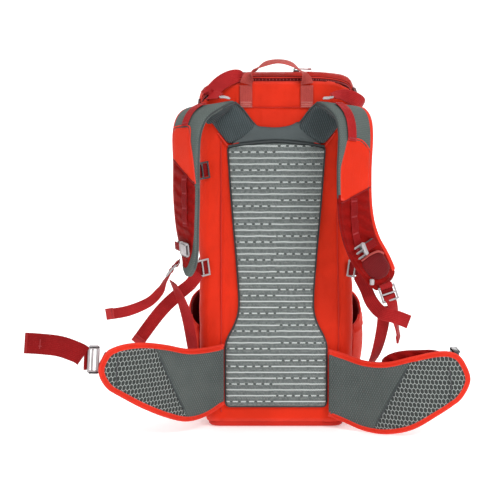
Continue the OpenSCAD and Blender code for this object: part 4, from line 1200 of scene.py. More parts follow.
# ------------------------------------------------------------------ hip belt
WING_R = np.array([[80.5, -106, 121, 22], [104, -115, 115, 14], [134, -130, 107, 4], [166, -148, 108, 3], [202, -164, 119, 13], [240, -172, 128, 37], [264, -174, 125, 54], [284, -175, 108, 70]], float)
WING_L = np.array([[80.5, -107, 129, 40], [108, -124, 126, 25], [136, -147, 128, 22], [166, -173, 138, 34], [197, -198, 145, 52], [223, -216, 145, 70], [243, -227, 139, 84], [256, -233, 131, 93]], float)


class Wing:
    """Upright curved pad: s along the plan curve, z up, o towards the wearer."""

    def __init__(self, table, sx, tip):
        R = catmull(table, 10)
        self.R = R
        self.L = arc(np.column_stack([R[:, :2], 0 * R[:, 0]]))
        T = unit(np.gradient(R[:, :2], axis=0))
        self.N = np.stack([T[:, 1], -T[:, 0]], -1)
        self.T = T
        self.sx = sx
        self.tip = tip

    def pts(self, uv, o):
        s, z = uv[:, 0], uv[:, 1]
        f = lambda a: np.interp(s, self.L, a)
        T = np.stack([f(self.T[:, 0]), f(self.T[:, 1])], -1)
        over = (np.clip(s - self.L[-1], 0, None) + np.clip(s, None, 0))[:, None]
        N = unit(np.stack([f(self.N[:, 0]), f(self.N[:, 1])], -1))
        xy = np.stack([f(self.R[:, 0]), f(self.R[:, 1])], -1) + T * over + N * np.asarray(o)[:, None]
        return np.stack([xy[:, 0] * self.sx, xy[:, 1], z], -1)

    def outline(self, inset=0.0):
        # the tip is closed with a round end
        e = self.L[-1]
        s = np.concatenate([self.L[self.L < e - self.tip][::2], e - self.tip * (1 - np.sin(np.linspace(0.0, math.pi / 2, 12)))])
        t, b = np.interp(s, self.L, self.R[:, 2]), np.interp(s, self.L, self.R[:, 3])
        m = (t + b) / 2
        k = np.sqrt(np.clip(1 - (np.clip(s - e + self.tip, 0, None) / self.tip) ** 2, 0, 1))
        k[-1] = 0.05
        h = (t - b) / 2 * k
        return np.vstack([np.column_stack([s, m - h]), np.column_stack([s, m + h])[::-1]])

    def s_of(self, i):
        return np.interp(i * 10, np.arange(len(self.L)), self.L)


def hexmesh():
    """Pale honeycomb net printed over a grey mesh."""
    m = Nodes("wing_honeycomb_mesh")
    uv = m.uv()
    u, v, _ = m.xyz(uv)
    u = m.math("ADD", u, m.math("MULTIPLY", v, 0.18))
    v = m.math("DIVIDE", v, 1.4)
    p = 0.0058
    # two offset grids of hexagon centres, the nearer one wins
    def dist(du, dv):
        a = m.math("SUBTRACT", m.math("FRACT", m.math("ADD", m.math("DIVIDE", u, p), du)), 0.5)
        b = m.math("SUBTRACT", m.math("FRACT", m.math("ADD", m.math("DIVIDE", v, p * 1.732), dv)), 0.5)
        b = m.math("MULTIPLY", b, 1.732)
        ax, bx = m.math("ABSOLUTE", a), m.math("ABSOLUTE", b)
        return m.math("MAXIMUM", ax, m.math("ADD", m.math("MULTIPLY", ax, 0.5), m.math("MULTIPLY", bx, 0.866)))
    d = m.math("MINIMUM", dist(0.0, 0.0), dist(0.5, 0.5))
    line = m.ramp(d, 0.425, 0.475)
    co = m.coord()
    cell = m.math("MULTIPLY", m.wave(u, 0.0013), m.wave(v, 0.0013))
    base = m.mix(m.math("MULTIPLY", cell, 0.6), lin((50, 54, 53)), lin((88, 94, 92)))
    base = m.mix(m.math("MULTIPLY", m.ramp(d, 0.0, 0.36), 0.5), base, tuple(c * 0.6 for c in lin((88, 92, 90))))
    col = m.mix(line, base, m.mix(m.noise(co, 300.0), lin((168, 176, 173)), lin((208, 214, 211))))
    b = m.bump(m.math("ADD", line, m.math("MULTIPLY", cell, 0.25)), 0.0008, 0.9)
    return m.done(col, 0.7, b, Sheen_Weight=0.03, Sheen_Roughness=0.5, IOR=1.2)


def finehex():
    """Grey knit of the wing next to the bag: small raised diamonds in columns."""
    m = Nodes("wing_diamond_knit")
    uv = m.uv()
    u, v, _ = m.xyz(uv)
    p = 0.0040
    a = m.wave(m.math("ADD", u, m.math("MULTIPLY", v, 0.577)), p)
    b = m.wave(m.math("SUBTRACT", u, m.math("MULTIPLY", v, 0.577)), p)
    h = m.math("MULTIPLY", a, b)
    co = m.coord()
    fine = m.math("MULTIPLY", m.wave(u, 0.0012), m.wave(v, 0.0012))
    base = m.mix(m.ramp(m.noise(co, 22.0, 2.0), 0.3, 0.7), lin((72, 78, 77)), lin((86, 92, 90)))
    c = m.mix(m.ramp(h, 0.12, 0.75), base, lin((104, 112, 110)))
    c = m.mix(m.math("MULTIPLY", fine, 0.25), c, lin((66, 68, 67)))
    bp = m.bump(m.math("ADD", h, m.math("MULTIPLY", fine, 0.15)), 0.0009, 0.9)
    return m.done(c, 0.82, bp, Sheen_Weight=0.03, Sheen_Roughness=0.5, IOR=1.2)


M_HEX, M_FINE = hexmesh(), finehex()
WR_, WL_ = Wing(WING_R, 1, 17.0), Wing(WING_L, -1, 17.0)


def line_side(p, a, b):
    """Positive on the outboard side of a line in s, z."""
    return (p[:, 1] - a[1]) * (b[0] - a[0]) - (p[:, 0] - a[0]) * (b[1] - a[1])


def wing(W, nm, body, node, border, seam, seed):
    poly = W.outline(0)
    end = W.L[-1]

    def front(uv, d):
        P = np.stack([uv[:, 0], 0 * d, uv[:, 1]], -1)
        h = dome(d, 5.2, 7.0)
        groove = np.zeros(len(d))
        for a, b in (border, seam):
            t = abs(line_side(uv, a, b)) / math.dist(a, b)
            groove += 1.7 * np.exp(-((t / 2.6) ** 2))
        # a soft channel just inside the edge binding
        groove += 1.3 * np.exp(-(((d - 6.4) / 2.0) ** 2))
        return h + (0.7 * snoise(P, 34, seed) - groove) * np.clip(d / 6, 0, 1)

    def back(uv, d):
        P = np.stack([uv[:, 0], 0 * d + 30, uv[:, 1]], -1)
        return dome(d, 5.2, 7.0) + 0.6 * snoise(P, 30, seed + 2) * np.clip(d / 6, 0, 1)

    def zone(c, d, isf):
        if not isf:
            return np.full(len(c), 2)
        out = line_side(c, *border) > 0
        z = np.where(out, 1, 0)
        dz = np.minimum(np.interp(c[:, 0], W.L, W.R[:, 2]) - c[:, 1], c[:, 1] - np.interp(c[:, 0], W.L, W.R[:, 3]))
        return np.where((d < 4.6) & ((c[:, 0] > 12) | (dz < 5)), 3, z)

    pad("hip_wing_" + nm, poly, W.pts, front, back, [M_FINE, M_HEX, M_SHELL_D, M_BIND], body, "belt_foam", step=3.0, rings=(0.6, 1.6, 3.0, 4.8, 6.8, 8.6, 10.4), zone=zone, replaces=(node,), padded=0.9)
    # binding rolled over the edge
    e = poly[poly[:, 0] > -1]
    e = resample(e, 3.5, closed=False)
    B = Build()
    tube_into(B, W.pts(e, 0 * e[:, 0] + 0.3), 2.6, 10, 0)
    B.make("hip_wing_%s_binding" % nm, [M_BIND], body, "shell_fabric")
    # piping between the two meshes, the upright seam, and a stitched channel
    for k, (a, b) in enumerate((border, seam)):
        t = np.linspace(0.06, 0.94, 40)
        c = np.array(a)[None] * (1 - t[:, None]) + np.array(b)[None] * t[:, None]
        c[:, 0] += 3.0 * np.sin(np.pi * t) * (1 if k else 0.4)
        dd = edge_distance(c, poly)
        c = c[dd > 5]
        dd = dd[dd > 5]
        B = Build()
        h = front(c, dd) + (1.0 if k == 0 else 0.6)
        tube_into(B, W.pts(c, h), 1.3 if k == 0 else 0.8, 8, 0)
        B.make("hip_wing_%s_%s" % (nm, "border" if k == 0 else "seam"), [M_PIPING if k == 0 else M_BUCKLE_D], body, "shell_fabric")
    q = resample(poly, 3.0)
    t = unit(np.roll(q, -1, 0) - np.roll(q, 1, 0))
    ar = 0.5 * (q[:, 0] * np.roll(q[:, 1], -1) - np.roll(q[:, 0], -1) * q[:, 1]).sum()
    nrm2 = np.stack([-t[:, 1], t[:, 0]], -1) * (1 if ar > 0 else -1)
    q = q + nrm2 * 4.8
    q = q[(q[:, 0] > 6) & (edge_distance(q, poly) > 4.5)]
    k0 = int(np.argmax(np.linalg.norm(q - np.roll(q, 1, 0), axis=1)))
    q = np.roll(q, -k0, 0)
    B = Build()
    hh = front(q, np.full(len(q), 5.9)) + 0.35
    tube_into(B, W.pts(q, hh), 0.75, 6, 0)
    B.make("hip_wing_%s_edge_seam" % nm, [M_BIND], body, "shell_fabric")
    return front, poly


FR_, PR_ = wing(WR_, "right", "wing_right", "hip_wing_right", ((130, 109), (77, 10.5)), ((187, 112), (190, 55)), 2.0)
FL_, PL_ = wing(WL_, "left", "wing_left", "hip_wing_left", ((123.6, 129), (73, 34)), ((189, 132), (192, 84)), 7.0)


def superloft(rows, n=36, ex=0.5):
    """Rings of a soft box along rows of centre, across vector, up vector, half width, half height."""
    rings = []
    for c, w, h, a, b in rows:
        ring = []
        for j in range(n):
            t = 2 * math.pi * j / n
            x, y = math.cos(t), math.sin(t)
            ring.append(np.asarray(c) + np.asarray(w) * math.copysign(abs(x) ** ex, x) * a + np.asarray(h) * math.copysign(abs(y) ** ex, y) * b)
        rings.append(ring)
    return np.array(rings)


HPR = np.array([[2.65, 5, 78, 72], [3.05, 13, 92, 75], [3.6, 16, 98, 78], [4.2, 16, 96, 81], [4.7, 12, 88, 86], [5.1, 5, 74, 90]], float)
HPL = np.array([[2.6, 5, 60, 84], [2.9, 13, 72, 88], [3.5, 16, 78, 92], [4.1, 16, 76, 98], [4.6, 12, 68, 102], [4.85, 5, 56, 104]], float)
for W, H, nm, body, node in ((WR_, HPR, "right", "wing_right", "hip_pocket_right"), (WL_, HPL, "left", "wing_left", "hip_pocket_left")):
    # flat-backed crowned pocket on the wing's outer face
    s = np.array([W.s_of(i) for i in H[:, 0]])
    Z = catmull(np.column_stack([s, H[:, 1:]]), 8)
    top = np.column_stack([Z[:, 0], Z[:, 3] + Z[:, 2] / 2])
    bot = np.column_stack([Z[:, 0], Z[:, 3] - Z[:, 2] / 2])
    poly = round_corners(np.vstack([bot[::3], top[::-3]]), 6, 3)
    seed = 3.0 if nm == "right" else 8.0

    def out(uv, o, W=W):
        return W.pts(uv, -(7.6 + np.asarray(o)))

    def crown(uv, d, seed=seed):
        P = np.stack([uv[:, 0], 0 * d, uv[:, 1]], -1)
        return dome(d, 14.0, 24.0) + (1.0 * snoise(P, 24, seed) + 0.5 * snoise(P, 10, seed + 4)) * np.clip(d / 8, 0, 1)

    pad("hip_pocket_" + nm, poly, out, crown, lambda uv, d: 0 * d + 0.3, [M_DARKRED], body, "pocket_fabric", step=4.0, rings=(0.5, 1.6, 3.4, 6.0, 9.5), replaces=(node,), padded=0.4)
    B = Build()
    e = resample(poly, 4.0)
    tube_into(B, W.pts(e, 0 * e[:, 0] - 8.4), 1.3, 8, 0, closed=True)
    B.make("hip_pocket_%s_piping" % nm, [M_WEB_D], body, "shell_fabric")
    ss = np.linspace(Z[4, 0], Z[-5, 0], 50)
    zz = np.interp(ss, Z[:, 0], Z[:, 3] + Z[:, 2] / 2) - 17
    c = np.column_stack([ss, zz])
    dd = edge_distance(c, poly)
    P = W.pts(c, -(7.6 + crown(c, dd) + 0.5))
    P2 = W.pts(c + (0, 1.0), -(7.6 + crown(c, dd) + 0.5))
    B = Build()
    up = unit(P2 - P)
    ribbon_into(B, np.concatenate([P, up, np.full((len(P), 1), 8.0), np.full((len(P), 1), 1.0)], 1), 1, 0)
    Q = W.pts(c, -(7.6 + crown(c, dd) + 1.2))
    for i in range(len(Q) - 1):
        box_into(B, Q[i], up[i], Q[i + 1] - Q[i], (2.6, 1.0, 1.0), 1, 0.2)
    B.make("hip_pocket_%s_zip" % nm, [M_ZIP, M_PULL], body, "zip_tape")


def zip_slider(name, c, along, out, body, slot="zip_pull", node=(), pull=20.0, mat=None, pull_dir=None):
    """Slider body, bridge and fabric pull."""
    a, o = unit(along), np.asarray(out, float)
    o = unit(o - (o @ a) * a)
    c = np.asarray(c, float)
    B = Build()
    box_into(B, c, a, np.cross(o, a), (10, 7, 3.0), 0, 0.9, 0.9)
    bridge = catmull([c - a * 4 + o * 1.2, c - a * 2.4 + o * 3.4, c + a * 1.6 + o * 3.6, c + a * 4 + o * 1.4], 6)
    tube_into(B, bridge, 0.9, 8, 0)
    p = a if pull_dir is None else unit(pull_dir)
    st = c + a * 0.5 + o * 2.2
    w = unit(np.cross(p, o))
    rows = np.array([[*(st + p * t + o * (1.0 - 0.03 * t)), *w, 5.0 if t > 5 else 3.6, 1.4] for t in np.linspace(1.5, pull, 8)])
    ribbon_into(B, rows, 3, 1)
    box_into(B, st + p * (pull - 2) + o * 0.6, p, w, (6, 6.4, 2.4), 1, 0.8)
    return B.make(name, [mat or M_BUCKLE_D, M_PULL], body, slot, replaces=node)


for s, nm in ((1, "right"), (-1, "left")):
    p0, p1 = corner(434, 1, 32, -4.9) * (s, 1, 1), corner(405, 1, 32, -4.9) * (s, 1, 1)
    n_ = corner(425, 1, 32, -12) * (s, 1, 1) - corner(425, 1, 32, 0) * (s, 1, 1)
    zip_slider("main_zip_slider_" + nm, p0 + (p1 - p0) * 0.16, p1 - p0, n_, "main_zip_" + nm, node=("main_zip_slider_" + nm,), pull=22)
zip_slider("top_zip_slider", (31, -58, 546.4), (1, 0, 0), (0, 0, 1), "top_zip", node=("top_zip_slider",), pull=22)
B = Build()
rows = np.array([[x, -58, 543.9, 0, 1, 0.05, 8, 1.0] for x in np.linspace(-60, 62, 30)])
ribbon_into(B, rows, 1, 0)
for x in np.arange(-58, 60, 2.2):
    box_into(B, (x, -58, 544.6), (1, 0, 0), (0, 1, 0), (1.0, 2.6, 1.0), 1, 0.2)
B.make("lid_pocket_zip", [M_ZIP, M_PULL], "flap", "zip_tape")
zr = [209.3, -147.1, 98.5, 239.1, -135.7, 105.5]
zip_slider("hip_zip_slider_right", (233, -139.6, 102), (-0.936, 0.351, 0), (0.351, 0.936, 0), "hip_zip_right", node=("hip_zip_slider_right",), pull=19)
zip_slider("hip_zip_slider_left", (-233.5, -178.5, 112), (0.79, -0.613, 0) if False else (0.79, 0.613, 0), (-0.613, 0.79, 0), "hip_zip_left", node=("hip_zip_slider_left",), pull=19)

# ------------------------------------------------------------------ side pockets and front pocket
POCKET = np.array([[30, 0.6, 38], [48, 7, 46], [80, 15, 52], [120, 19, 55], [160, 18, 57], [196, 15, 58]], float)
for s, nm in ((1, "right"), (-1, "left")):
    def pocket(inn):
        rows = []
        for z, dep, hl in catmull(POCKET, 6):
            q = np.linspace(-1, 1, 33)
            w = hw(z) + 0.9
            bulge = (1 - np.abs(q) ** 2.6)
            x = w + np.maximum(dep * bulge - inn, 0) + (0.9 if inn == 0 else 0)
            y = q * (hl - inn * 0.8) - 2
            zz = z + np.where(z > 150, (q - 1) * 22 * (z - 150) / 46, 0) + (inn if z < 35 else 0)
            rows.append(np.stack([x, y, zz + 0 * q], -1))
        return np.array(rows)

    O, I = pocket(0), pocket(2.0)
    d = (0.8 * snoise(O, 30, 2 + s) + 0.5 * snoise(O, 12, 5 + s)).reshape(O.shape[:2])
    env = np.clip((1 - np.abs(np.linspace(-1, 1, 33)))[None, :] * 5, 0, 1)
    O[..., 0] += d * env + 0.4
    I[..., 0] += d * env
    O[..., 0] *= s
    I[..., 0] *= s
    B = Build()
    sheet_into(B, O, I, 0)
    B.m = [2 if 0.5 * (B.v[f[0]][1] + B.v[f[2]][1]) < -22 and mm == 0 else mm for f, mm in zip(B.f, B.m)]
    B.make("side_pocket_" + nm, [M_MESHDARK, M_MESHDARK, M_SHELL], "bag", "stretch_mesh", replaces=("side_pocket_" + nm,))
    # elastic band along the rim
    rim = O[-1].copy()
    B = Build()
    up = unit(O[-1] - O[-4])
    nx = np.array([s, 0, 0.0])
    rows = np.concatenate([rim - up * 6 + nx * 0.5, up, np.full((33, 1), 15.0), np.full((33, 1), 2.6)], 1)
    ribbon_into(B, rows, 2, 0, cup=0.8)
    B.make("side_pocket_%s_band" % nm, [M_BIND], "bag", "shell_fabric")

FPZ = np.array([[222, 0.8], [240, 9], [280, 14], [340, 14], [400, 12.5]], float)


def front_pocket(inn):
    rows = []
    for z, dep in catmull(FPZ, 6):
        q = np.linspace(-1, 1, 37)
        x = q * (58 - inn)
        y = front_y(z) + 1.4 + np.maximum(dep * (1 - np.abs(q) ** 3.2) - inn, 0) + (0.5 if inn == 0 else 0)
        rows.append(np.stack([x, y, z + 0 * q + (inn if z < 240 else 0)], -1))
    return np.array(rows)


O, I = front_pocket(0), front_pocket(2.0)
d = (0.9 * snoise(O, 34, 21) + 0.5 * snoise(O, 12, 25)).reshape(O.shape[:2]) * np.clip((1 - np.abs(np.linspace(-1, 1, 37)))[None, :] * 5, 0, 1)
O[..., 1] += d + 0.6
I[..., 1] += d
B = Build()
sheet_into(B, O, I, 0)
B.make("front_stretch_pocket", [M_MESHDARK], "flap", "stretch_mesh", replaces=("front_stretch_pocket",))
B = Build()
up = unit(O[-1] - O[-4])
rows = np.concatenate([O[-1] - up * 6 + np.array([0, 0.6, 0]), up, np.full((37, 1), 15.0), np.full((37, 1), 2.6)], 1)
ribbon_into(B, rows, 2, 0, cup=0.8)
B.make("front_pocket_band", [M_BIND], "flap", "shell_fabric")

# ------------------------------------------------------------------ webbing
def mir(rows, sx):
    R = np.array(rows, float)
    if sx < 0:
        R[:, 0] *= -1
        R[:, 3] *= -1
    return R


def strip(name, rows, sx, body, mat=None, w=20, t=1.8, node=(), k=10, slot="webbing", cup=0.0):
    R = mir(rows, sx)
    if R.shape[1] == 6:
        R = np.column_stack([R, np.full(len(R), w), np.full(len(R), t)])
    elif R.shape[1] == 7:
        R = np.column_stack([R, np.full(len(R), t)])
    B = Build()
    ribbon_into(B, R, k, 0, cup=cup)
    return B, R


def finish_strip(B, name, body, mat, node=(), slot="webbing"):
    return B.make(name, [mat, M_THREAD], body, slot, replaces=node)


def stitch_box(B, c, x, y, n, w, h, mat=1):
    """Box of stitches, standing slightly proud."""
    x, y = unit(x), unit(y)
    z = np.cross(x, y)
    for a, b, d in (((-w / 2, -h / 2), (w / 2, -h / 2), x), ((-w / 2, h / 2), (w / 2, h / 2), x), ((-w / 2, -h / 2), (-w / 2, h / 2), y), ((w / 2, -h / 2), (w / 2, h / 2), y)):
        p = c + x * (a[0] + b[0]) / 2 + y * (a[1] + b[1]) / 2 + n
        box_into(B, p, d, z, (math.dist(a, b), 0.7, 0.9), mat, 0.2)


# harness webbing from the lower corners to the straps
HARNESS_R = [[121.5, -66, 46, 0, 1, 0.3], [131, -82, 72, 0.3, 1, 0.4], [150, -108, 112, 0.8, 0.6, 0.2], [159, -130, 156, 1, 0.4, 0], [161, -147, 194, 1, 0.3, 0]]
HARNESS_L = [[121.5, -66, 46, 0, 1, 0.3], [124, -78, 80, 0.3, 1, 0.4], [128, -92, 120, 0.8, 0.6, 0.2], [134, -108, 165, 0.9, 0.5, 0], [143, -126, 200, 0.7, 0.7, 0], [155, -144, 230, 0.4, 0.9, 0]]
B, _ = strip("harness", HARNESS_R, 1, None)
finish_strip(B, "harness_webbing_right", ("bag", "strap_right", (121.5, -66, 46), (161, -147, 194)), M_WEB, ("harness_webbing_right",))
B, _ = strip("harness", HARNESS_L, -1, None)
finish_strip(B, "harness_webbing_left", ("bag", "strap_left", (-121.5, -66, 46), (-155, -144, 230)), M_WEB, ("harness_webbing_left",))

# load lifters
LIFT_R = [[121.5, -76, 478, 0.1, 1, 0.5, 24], [126.5, -91, 487, 0.45, 0.75, 0.6, 26], [125.5, -104, 495, 0.6, 0.25, 0.78, 24], [117, -115, 502, 0.4, 0.15, 0.9, 22], [104, -124, 507, 0.1, 0.35, 0.9, 21], [92, -130.5, 508, 0, 0.75, 0.65, 19], [83, -135.5, 506.5, 0, 0.85, 0.5, 17]]
LIFT_L = [[47, -77, 532, 0.1, -0.3, 0.95, 13], [55, -89.5, 538, 0.25, 0, 0.95, 18], [68, -98, 535.5, 0.42, 0.1, 0.9, 22], [83, -108, 527, 0.58, 0.25, 0.78, 23], [95, -117.5, 516, 0.68, 0.4, 0.6, 22], [100.5, -126, 509, 0.5, 0.7, 0.45, 20], [92, -131, 508, 0.15, 0.8, 0.6, 18], [84.5, -135.5, 506.5, 0, 0.85, 0.5, 17]]
B, _ = strip("lifter", LIFT_R, 1, None)
finish_strip(B, "load_lifter_right", ("bag", "strap_right", (121.5, -76, 478), (92, -130, 508)), M_WEB, ("load_lifter_right",))
B, _ = strip("lifter", LIFT_L, -1, None)
finish_strip(B, "load_lifter_left", ("bag", "strap_left", (-64, -95.5, 520), (-101, -126, 508)), M_WEB, ("load_lifter_left",))

# fabric triangles that hold the harness webbing at the base corners
for s in (1, -1):
    B = Build()
    P = np.array([(119.8 * s, -34, 30), (120.3 * s, -52, 37), (121.4 * s, -66, 46), (125 * s, -73, 56)], float)
    rows = np.array([[*P[i], 0, 0.6 if i < 3 else 1, 0.8 if i < 3 else 0.5, [46, 38, 28, 22][i], 2.4] for i in range(4)])
    ribbon_into(B, rows, 6, 0)
    B.make("harness_anchor_%s" % ("right" if s > 0 else "left"), [M_SHELL_D], "bag", "shell_fabric")

# compression straps
for s, nm in ((1, "right"), (-1, "left")):
    B = Build()
    for z in (244, 394):
        R = [corner(z, 1, a, -2.9 if a > 30 else -2.0) for a in (40, 32, 20, 4)] + [np.array([hw(z) + 2.0, y, z]) for y in (20, -20, -60)] + [corner(z, 0, a, -2.0) for a in (-6, -34, -58)]
        R = np.array([[*p, 0, 0, 1, 20, 1.8] for p in R])
        R[:, 0] *= s
        ribbon_into(B, R, 6, 0)
        stitch_box(B, R[0, :3] + (R[1, :3] - R[0, :3]) * 0.8, R[2, :3] - R[0, :3], (0, 0, 1), np.array([0.75 * s, 0.75, 0]), 10, 14)
    B.make("compression_webbing_" + nm, [M_WEB_D, M_THREAD], "bag", "webbing", replaces=("compression_webbing_" + nm,))

# free ends
TAILS = (
    ("strap_tail_right", [[171, -164, 200, 0.8, 0.6, 0, 19], [175, -158, 184, 0.6, 0.8, 0, 19], [180, -148, 162, 0.3, 0.95, 0.1, 19], [184, -137, 142, 0.3, 0.95, 0.1, 19]], 1, "strap_lock_right"),
    ("strap_tail_left", [[166, -162, 233, 0.1, 0.9, 0.3, 19], [174, -166, 218, 0.25, 0.75, 0.6, 18], [190, -170, 203, 0.3, 0.7, 0.65, 18], [220, -176, 191, 0.25, 0.6, 0.75, 18], [252, -180, 186, 0.2, 0.6, 0.8, 18]], -1, "strap_lock_left"),
    ("side_tail_right", [[127, -112, 233, 0.55, 0.2, 0.75, 19], [134, -130, 219, 0.5, 0.4, 0.75, 19], [141, -158, 202, 0.5, 0.5, 0.7, 20], [153, -188, 190, 0.5, 0.25, 0.8, 20], [172, -205, 186, 0.5, 0.15, 0.85, 20], [191, -209, 179, 0.55, 0, 0.83, 20]], 1, "side_lock_right"),
    ("side_tail_left", [[121, -112, 236, 0.8, 0.1, 0.6, 19], [131, -114, 223, 0.7, 0.2, 0.6, 19], [150, -111, 207, 0.6, 0.3, 0.7, 20], [178, -109, 179, 0.68, 0.2, 0.7, 20], [213, -108, 132, 0.78, 0.2, 0.6, 20]], -1, "side_lock_left"),
)
# where each free end leaves its ladder lock
LINK = {
    "strap_tail_right": [166.0, -162.9, 212.5, 0.93, 0.15, 0.3],
    "strap_tail_left": [157.5, -160, 246.5, 0.0, 1, 0.1],
    "side_tail_right": [124.0, -106.5, 238, 0.3, 0.0, 0.95],
    "side_tail_left": [117.5, -106.5, 240, 0.5, 0.0, 0.85],
}
for nm, rows, sx, body in TAILS:
    B, R = strip(nm, [LINK[nm] + [rows[0][6]]] + rows, sx, body)
    # folded end
    e, f = R[-1], R[-2]
    t = unit(e[:3] - f[:3])
    w = unit(e[3:6] - (e[3:6] @ t) * t)
    n = np.cross(w, t)
    box_into(B, e[:3] - t * 6 + n * 1.5, t, w, (12, e[6] * 0.99, 1.5), 0, 0.5)
    box_into(B, e[:3] - t * 9 + n * 2.4, w, t, (e[6] * 0.86, 1.0, 0.8), 1, 0.3)
    finish_strip(B, nm, body, M_WEB, (nm,))

# hip belt's long free end
B, R = strip("belt", [[280, -228.8, 132, 0, 0, 1, 30], [288, -232, 138, 0.12, 0, 1, 30], [312, -239, 148, 0.15, 0, 1, 30], [338, -243, 152, 0.15, 0, 1, 30], [362, -246, 154, 0.15, 0, 1, 30]], -1, None)
e, f = R[-1], R[-2]
t = unit(e[:3] - f[:3])
w = unit(e[3:6] - (e[3:6] @ t) * t)
n = np.cross(w, t)
if n[1] > 0:
    n = -n
box_into(B, e[:3] - t * 22 + n * 1.1, w, t, (14, 1.6, 0.8), 1, 0.3)
box_into(B, e[:3] - t * 22 - w * 3 + n * 1.3, w, t, (1.4, 5.0, 0.8), 1, 0.3)
box_into(B, e[:3] - t * 2.2 + n * 0.9, w, t, (29, 3.6, 1.2), 0, 0.4)
finish_strip(B, "belt_webbing_tail", "belt_end_left", M_WEB_D, ("belt_webbing_tail",))


# ------------------------------------------------------------------ buckles
def ladder_into(B, c, x, y, w, h, th=4.0):
    """Ladder lock: two rails and three bars."""
    x = unit(x)
    y = unit(np.asarray(y, float) - (np.asarray(y, float) @ x) * x)
    z = np.cross(x, y)
    c = np.asarray(c, float)
    W = w + 7
    for s in (-1, 1):
        rail = np.array([c + x * s * (W / 2 - 1.7) + y * q * h / 2 + z * b for q, b in ((-0.97, 0), (-0.5, 0.3), (0, 0.8), (0.5, 0.3), (0.97, 0))])
        tube_into(B, catmull(rail, 5), np.interp(np.linspace(0, 1, 21), [0, 0.08, 0.92, 1], [1.2, 1.45, 1.45, 1.2]), 10, 0, up=z, flat=th / 4.0)
    for q, r, lift in ((-0.44, 1.4, 0), (0.0, 1.3, 0.9), (0.44, 1.5, 0.2)):
        bar = np.array([c + x * p * (W / 2 - 1.0) + y * q * h + z * lift for p in (-1, -0.5, 0, 0.5, 1)])
        tube_into(B, bar, r, 10, 0, up=z, flat=0.9)
    return x, y, z


def ladder(name, c, x, y, w, h, body, mat, node, sx=1):
    m = np.array([sx, 1, 1])
    B = Build()
    x, y, z = ladder_into(B, np.array(c) * m, np.array(x) * m, np.array(y) * m, w, h)
    return B.make(name, [mat], body, "buckle_plastic", replaces=node), x, y, z


def loop_web(name, c, x, y, w, body, mat, bar, span=9.0, sx=1):
    """Short tape folded around a bar of a ladder lock."""
    m = np.array([sx, 1, 1])
    c, x, y = np.array(c, float) * m, unit(np.array(x, float) * m), np.array(y, float) * m
    y = unit(y - (y @ x) * x)
    z = np.cross(x, y)
    o = c + y * bar
    d = 1 if bar >= 0 else -1
    pts = [o + y * d * span + z * 1.2, o + y * d * 2.5 + z * 2.2, o + z * 2.5, o - y * d * 2.2 + z * 1.3, o - y * d * 2.7, o - y * d * 2.2 - z * 1.3, o - z * 2.5, o + y * d * 2.5 - z * 2.1, o + y * d * span - z * 1.1]
    rows = np.array([[*p, *x, w, 1.5] for p in pts])
    B = Build()
    ribbon_into(B, rows, 6, 0)
    return B.make(name, [mat, M_THREAD], body, "webbing")


def back_web(name, c, x, y, w, body, mat, a, b, sx=1):
    """Flat tape behind the bars of a ladder lock."""
    m = np.array([sx, 1, 1])
    c, x, y = np.array(c, float) * m, unit(np.array(x, float) * m), np.array(y, float) * m
    y = unit(y - (y @ x) * x)
    z = np.cross(x, y)
    z = -z if z[1] > 0 else z
    rows = np.array([[*(c + y * q - z * 2.4), *x, w, 1.5] for q in np.linspace(a, b, 5)])
    B = Build()
    ribbon_into(B, rows, 4, 0)
    return B.make(name, [mat, M_THREAD], body, "webbing")


LB_R = ((165, -164, 215.5), (0.93, 0.15, 0.3), (-0.3, 0.1, 0.93))
LB_L = ((156, -159, 250), (0, -1, 0), (-0.67, 0, 0.74))
ladder("strap_ladder_right", *LB_R, 20, 24, "strap_lock_right", M_BUCKLE, ("strap_ladder_right",))
ladder("strap_ladder_left", *LB_L, 20, 24, "strap_lock_left", M_BUCKLE, ("strap_ladder_left",), -1)
loop_web("strap_loop_right", *LB_R, 19, "strap_lock_right", M_WEB, 10.6, 4.8)
loop_web("strap_loop_left", *LB_L, 19, "strap_lock_left", M_WEB, 10.6, 6.5, -1)
B = Build()
ribbon_into(B, mir([[145, -163, 263, 0.3, 0.95, 0, 18, 1.6], [149, -161.5, 260.5, 0.2, 0.97, 0, 18, 1.6], [153.5, -159.5, 256.5, 0, 1, 0.0, 18, 1.6], [155, -159.3, 256, 0, 1, 0, 18, 1.6]], -1), 6, 0)
B.make("strap_left_anchor", [M_WEB_D], "strap_left", "webbing")
back_web("strap_feed_right", *LB_R, 18.5, "strap_lock_right", M_WEB_D, 10.5, -9.5)
loop_web("strap_feed_left", *LB_L, 19, "strap_lock_left", M_WEB, -0.5, -3.6, -1)

LX = unit([0.1, 1, 0.1])
LY = unit(np.cross([0.14, 0.1, -1], LX))
ladder("lifter_buckle_right", (76, -138, 504.5), LX, LY, 14, 15, "strap_right", M_BUCKLE, ("lifter_buckle_right",))
ladder("lifter_buckle_left", (78, -138, 504.5), LX, LY, 14, 15, "strap_left", M_BUCKLE, ("lifter_buckle_left",), -1)

V = unit([0.12, -0.1, 0.99])
VY = unit(np.cross(np.cross(V, [0.8, -0.45, 0]), V))
for nm, x, z, sx, body in (("side_ladder_right", 119, 245, 1, "side_lock_right"), ("side_ladder_left", 112, 247, -1, "side_lock_left"), ("upper_ladder_right", 118, 395, 1, "upper_lock_right"), ("upper_ladder_left", 112, 395, -1, "upper_lock_left")):
    ladder(nm, (x, -101, z), V, VY, 20, 24, body, M_BUCKLE if nm.startswith("side") else M_BUCKLE_D, (nm,), sx)
    loop_web(nm + "_loop", (x, -101, z), V, VY, 19, body, M_WEB_D, -10.6 if False else 10.6, 5.0, sx)
    back_web(nm + "_feed", (x, -101, z), V, VY, 18.5, body, M_WEB_D, 10.0, -10.0, sx)


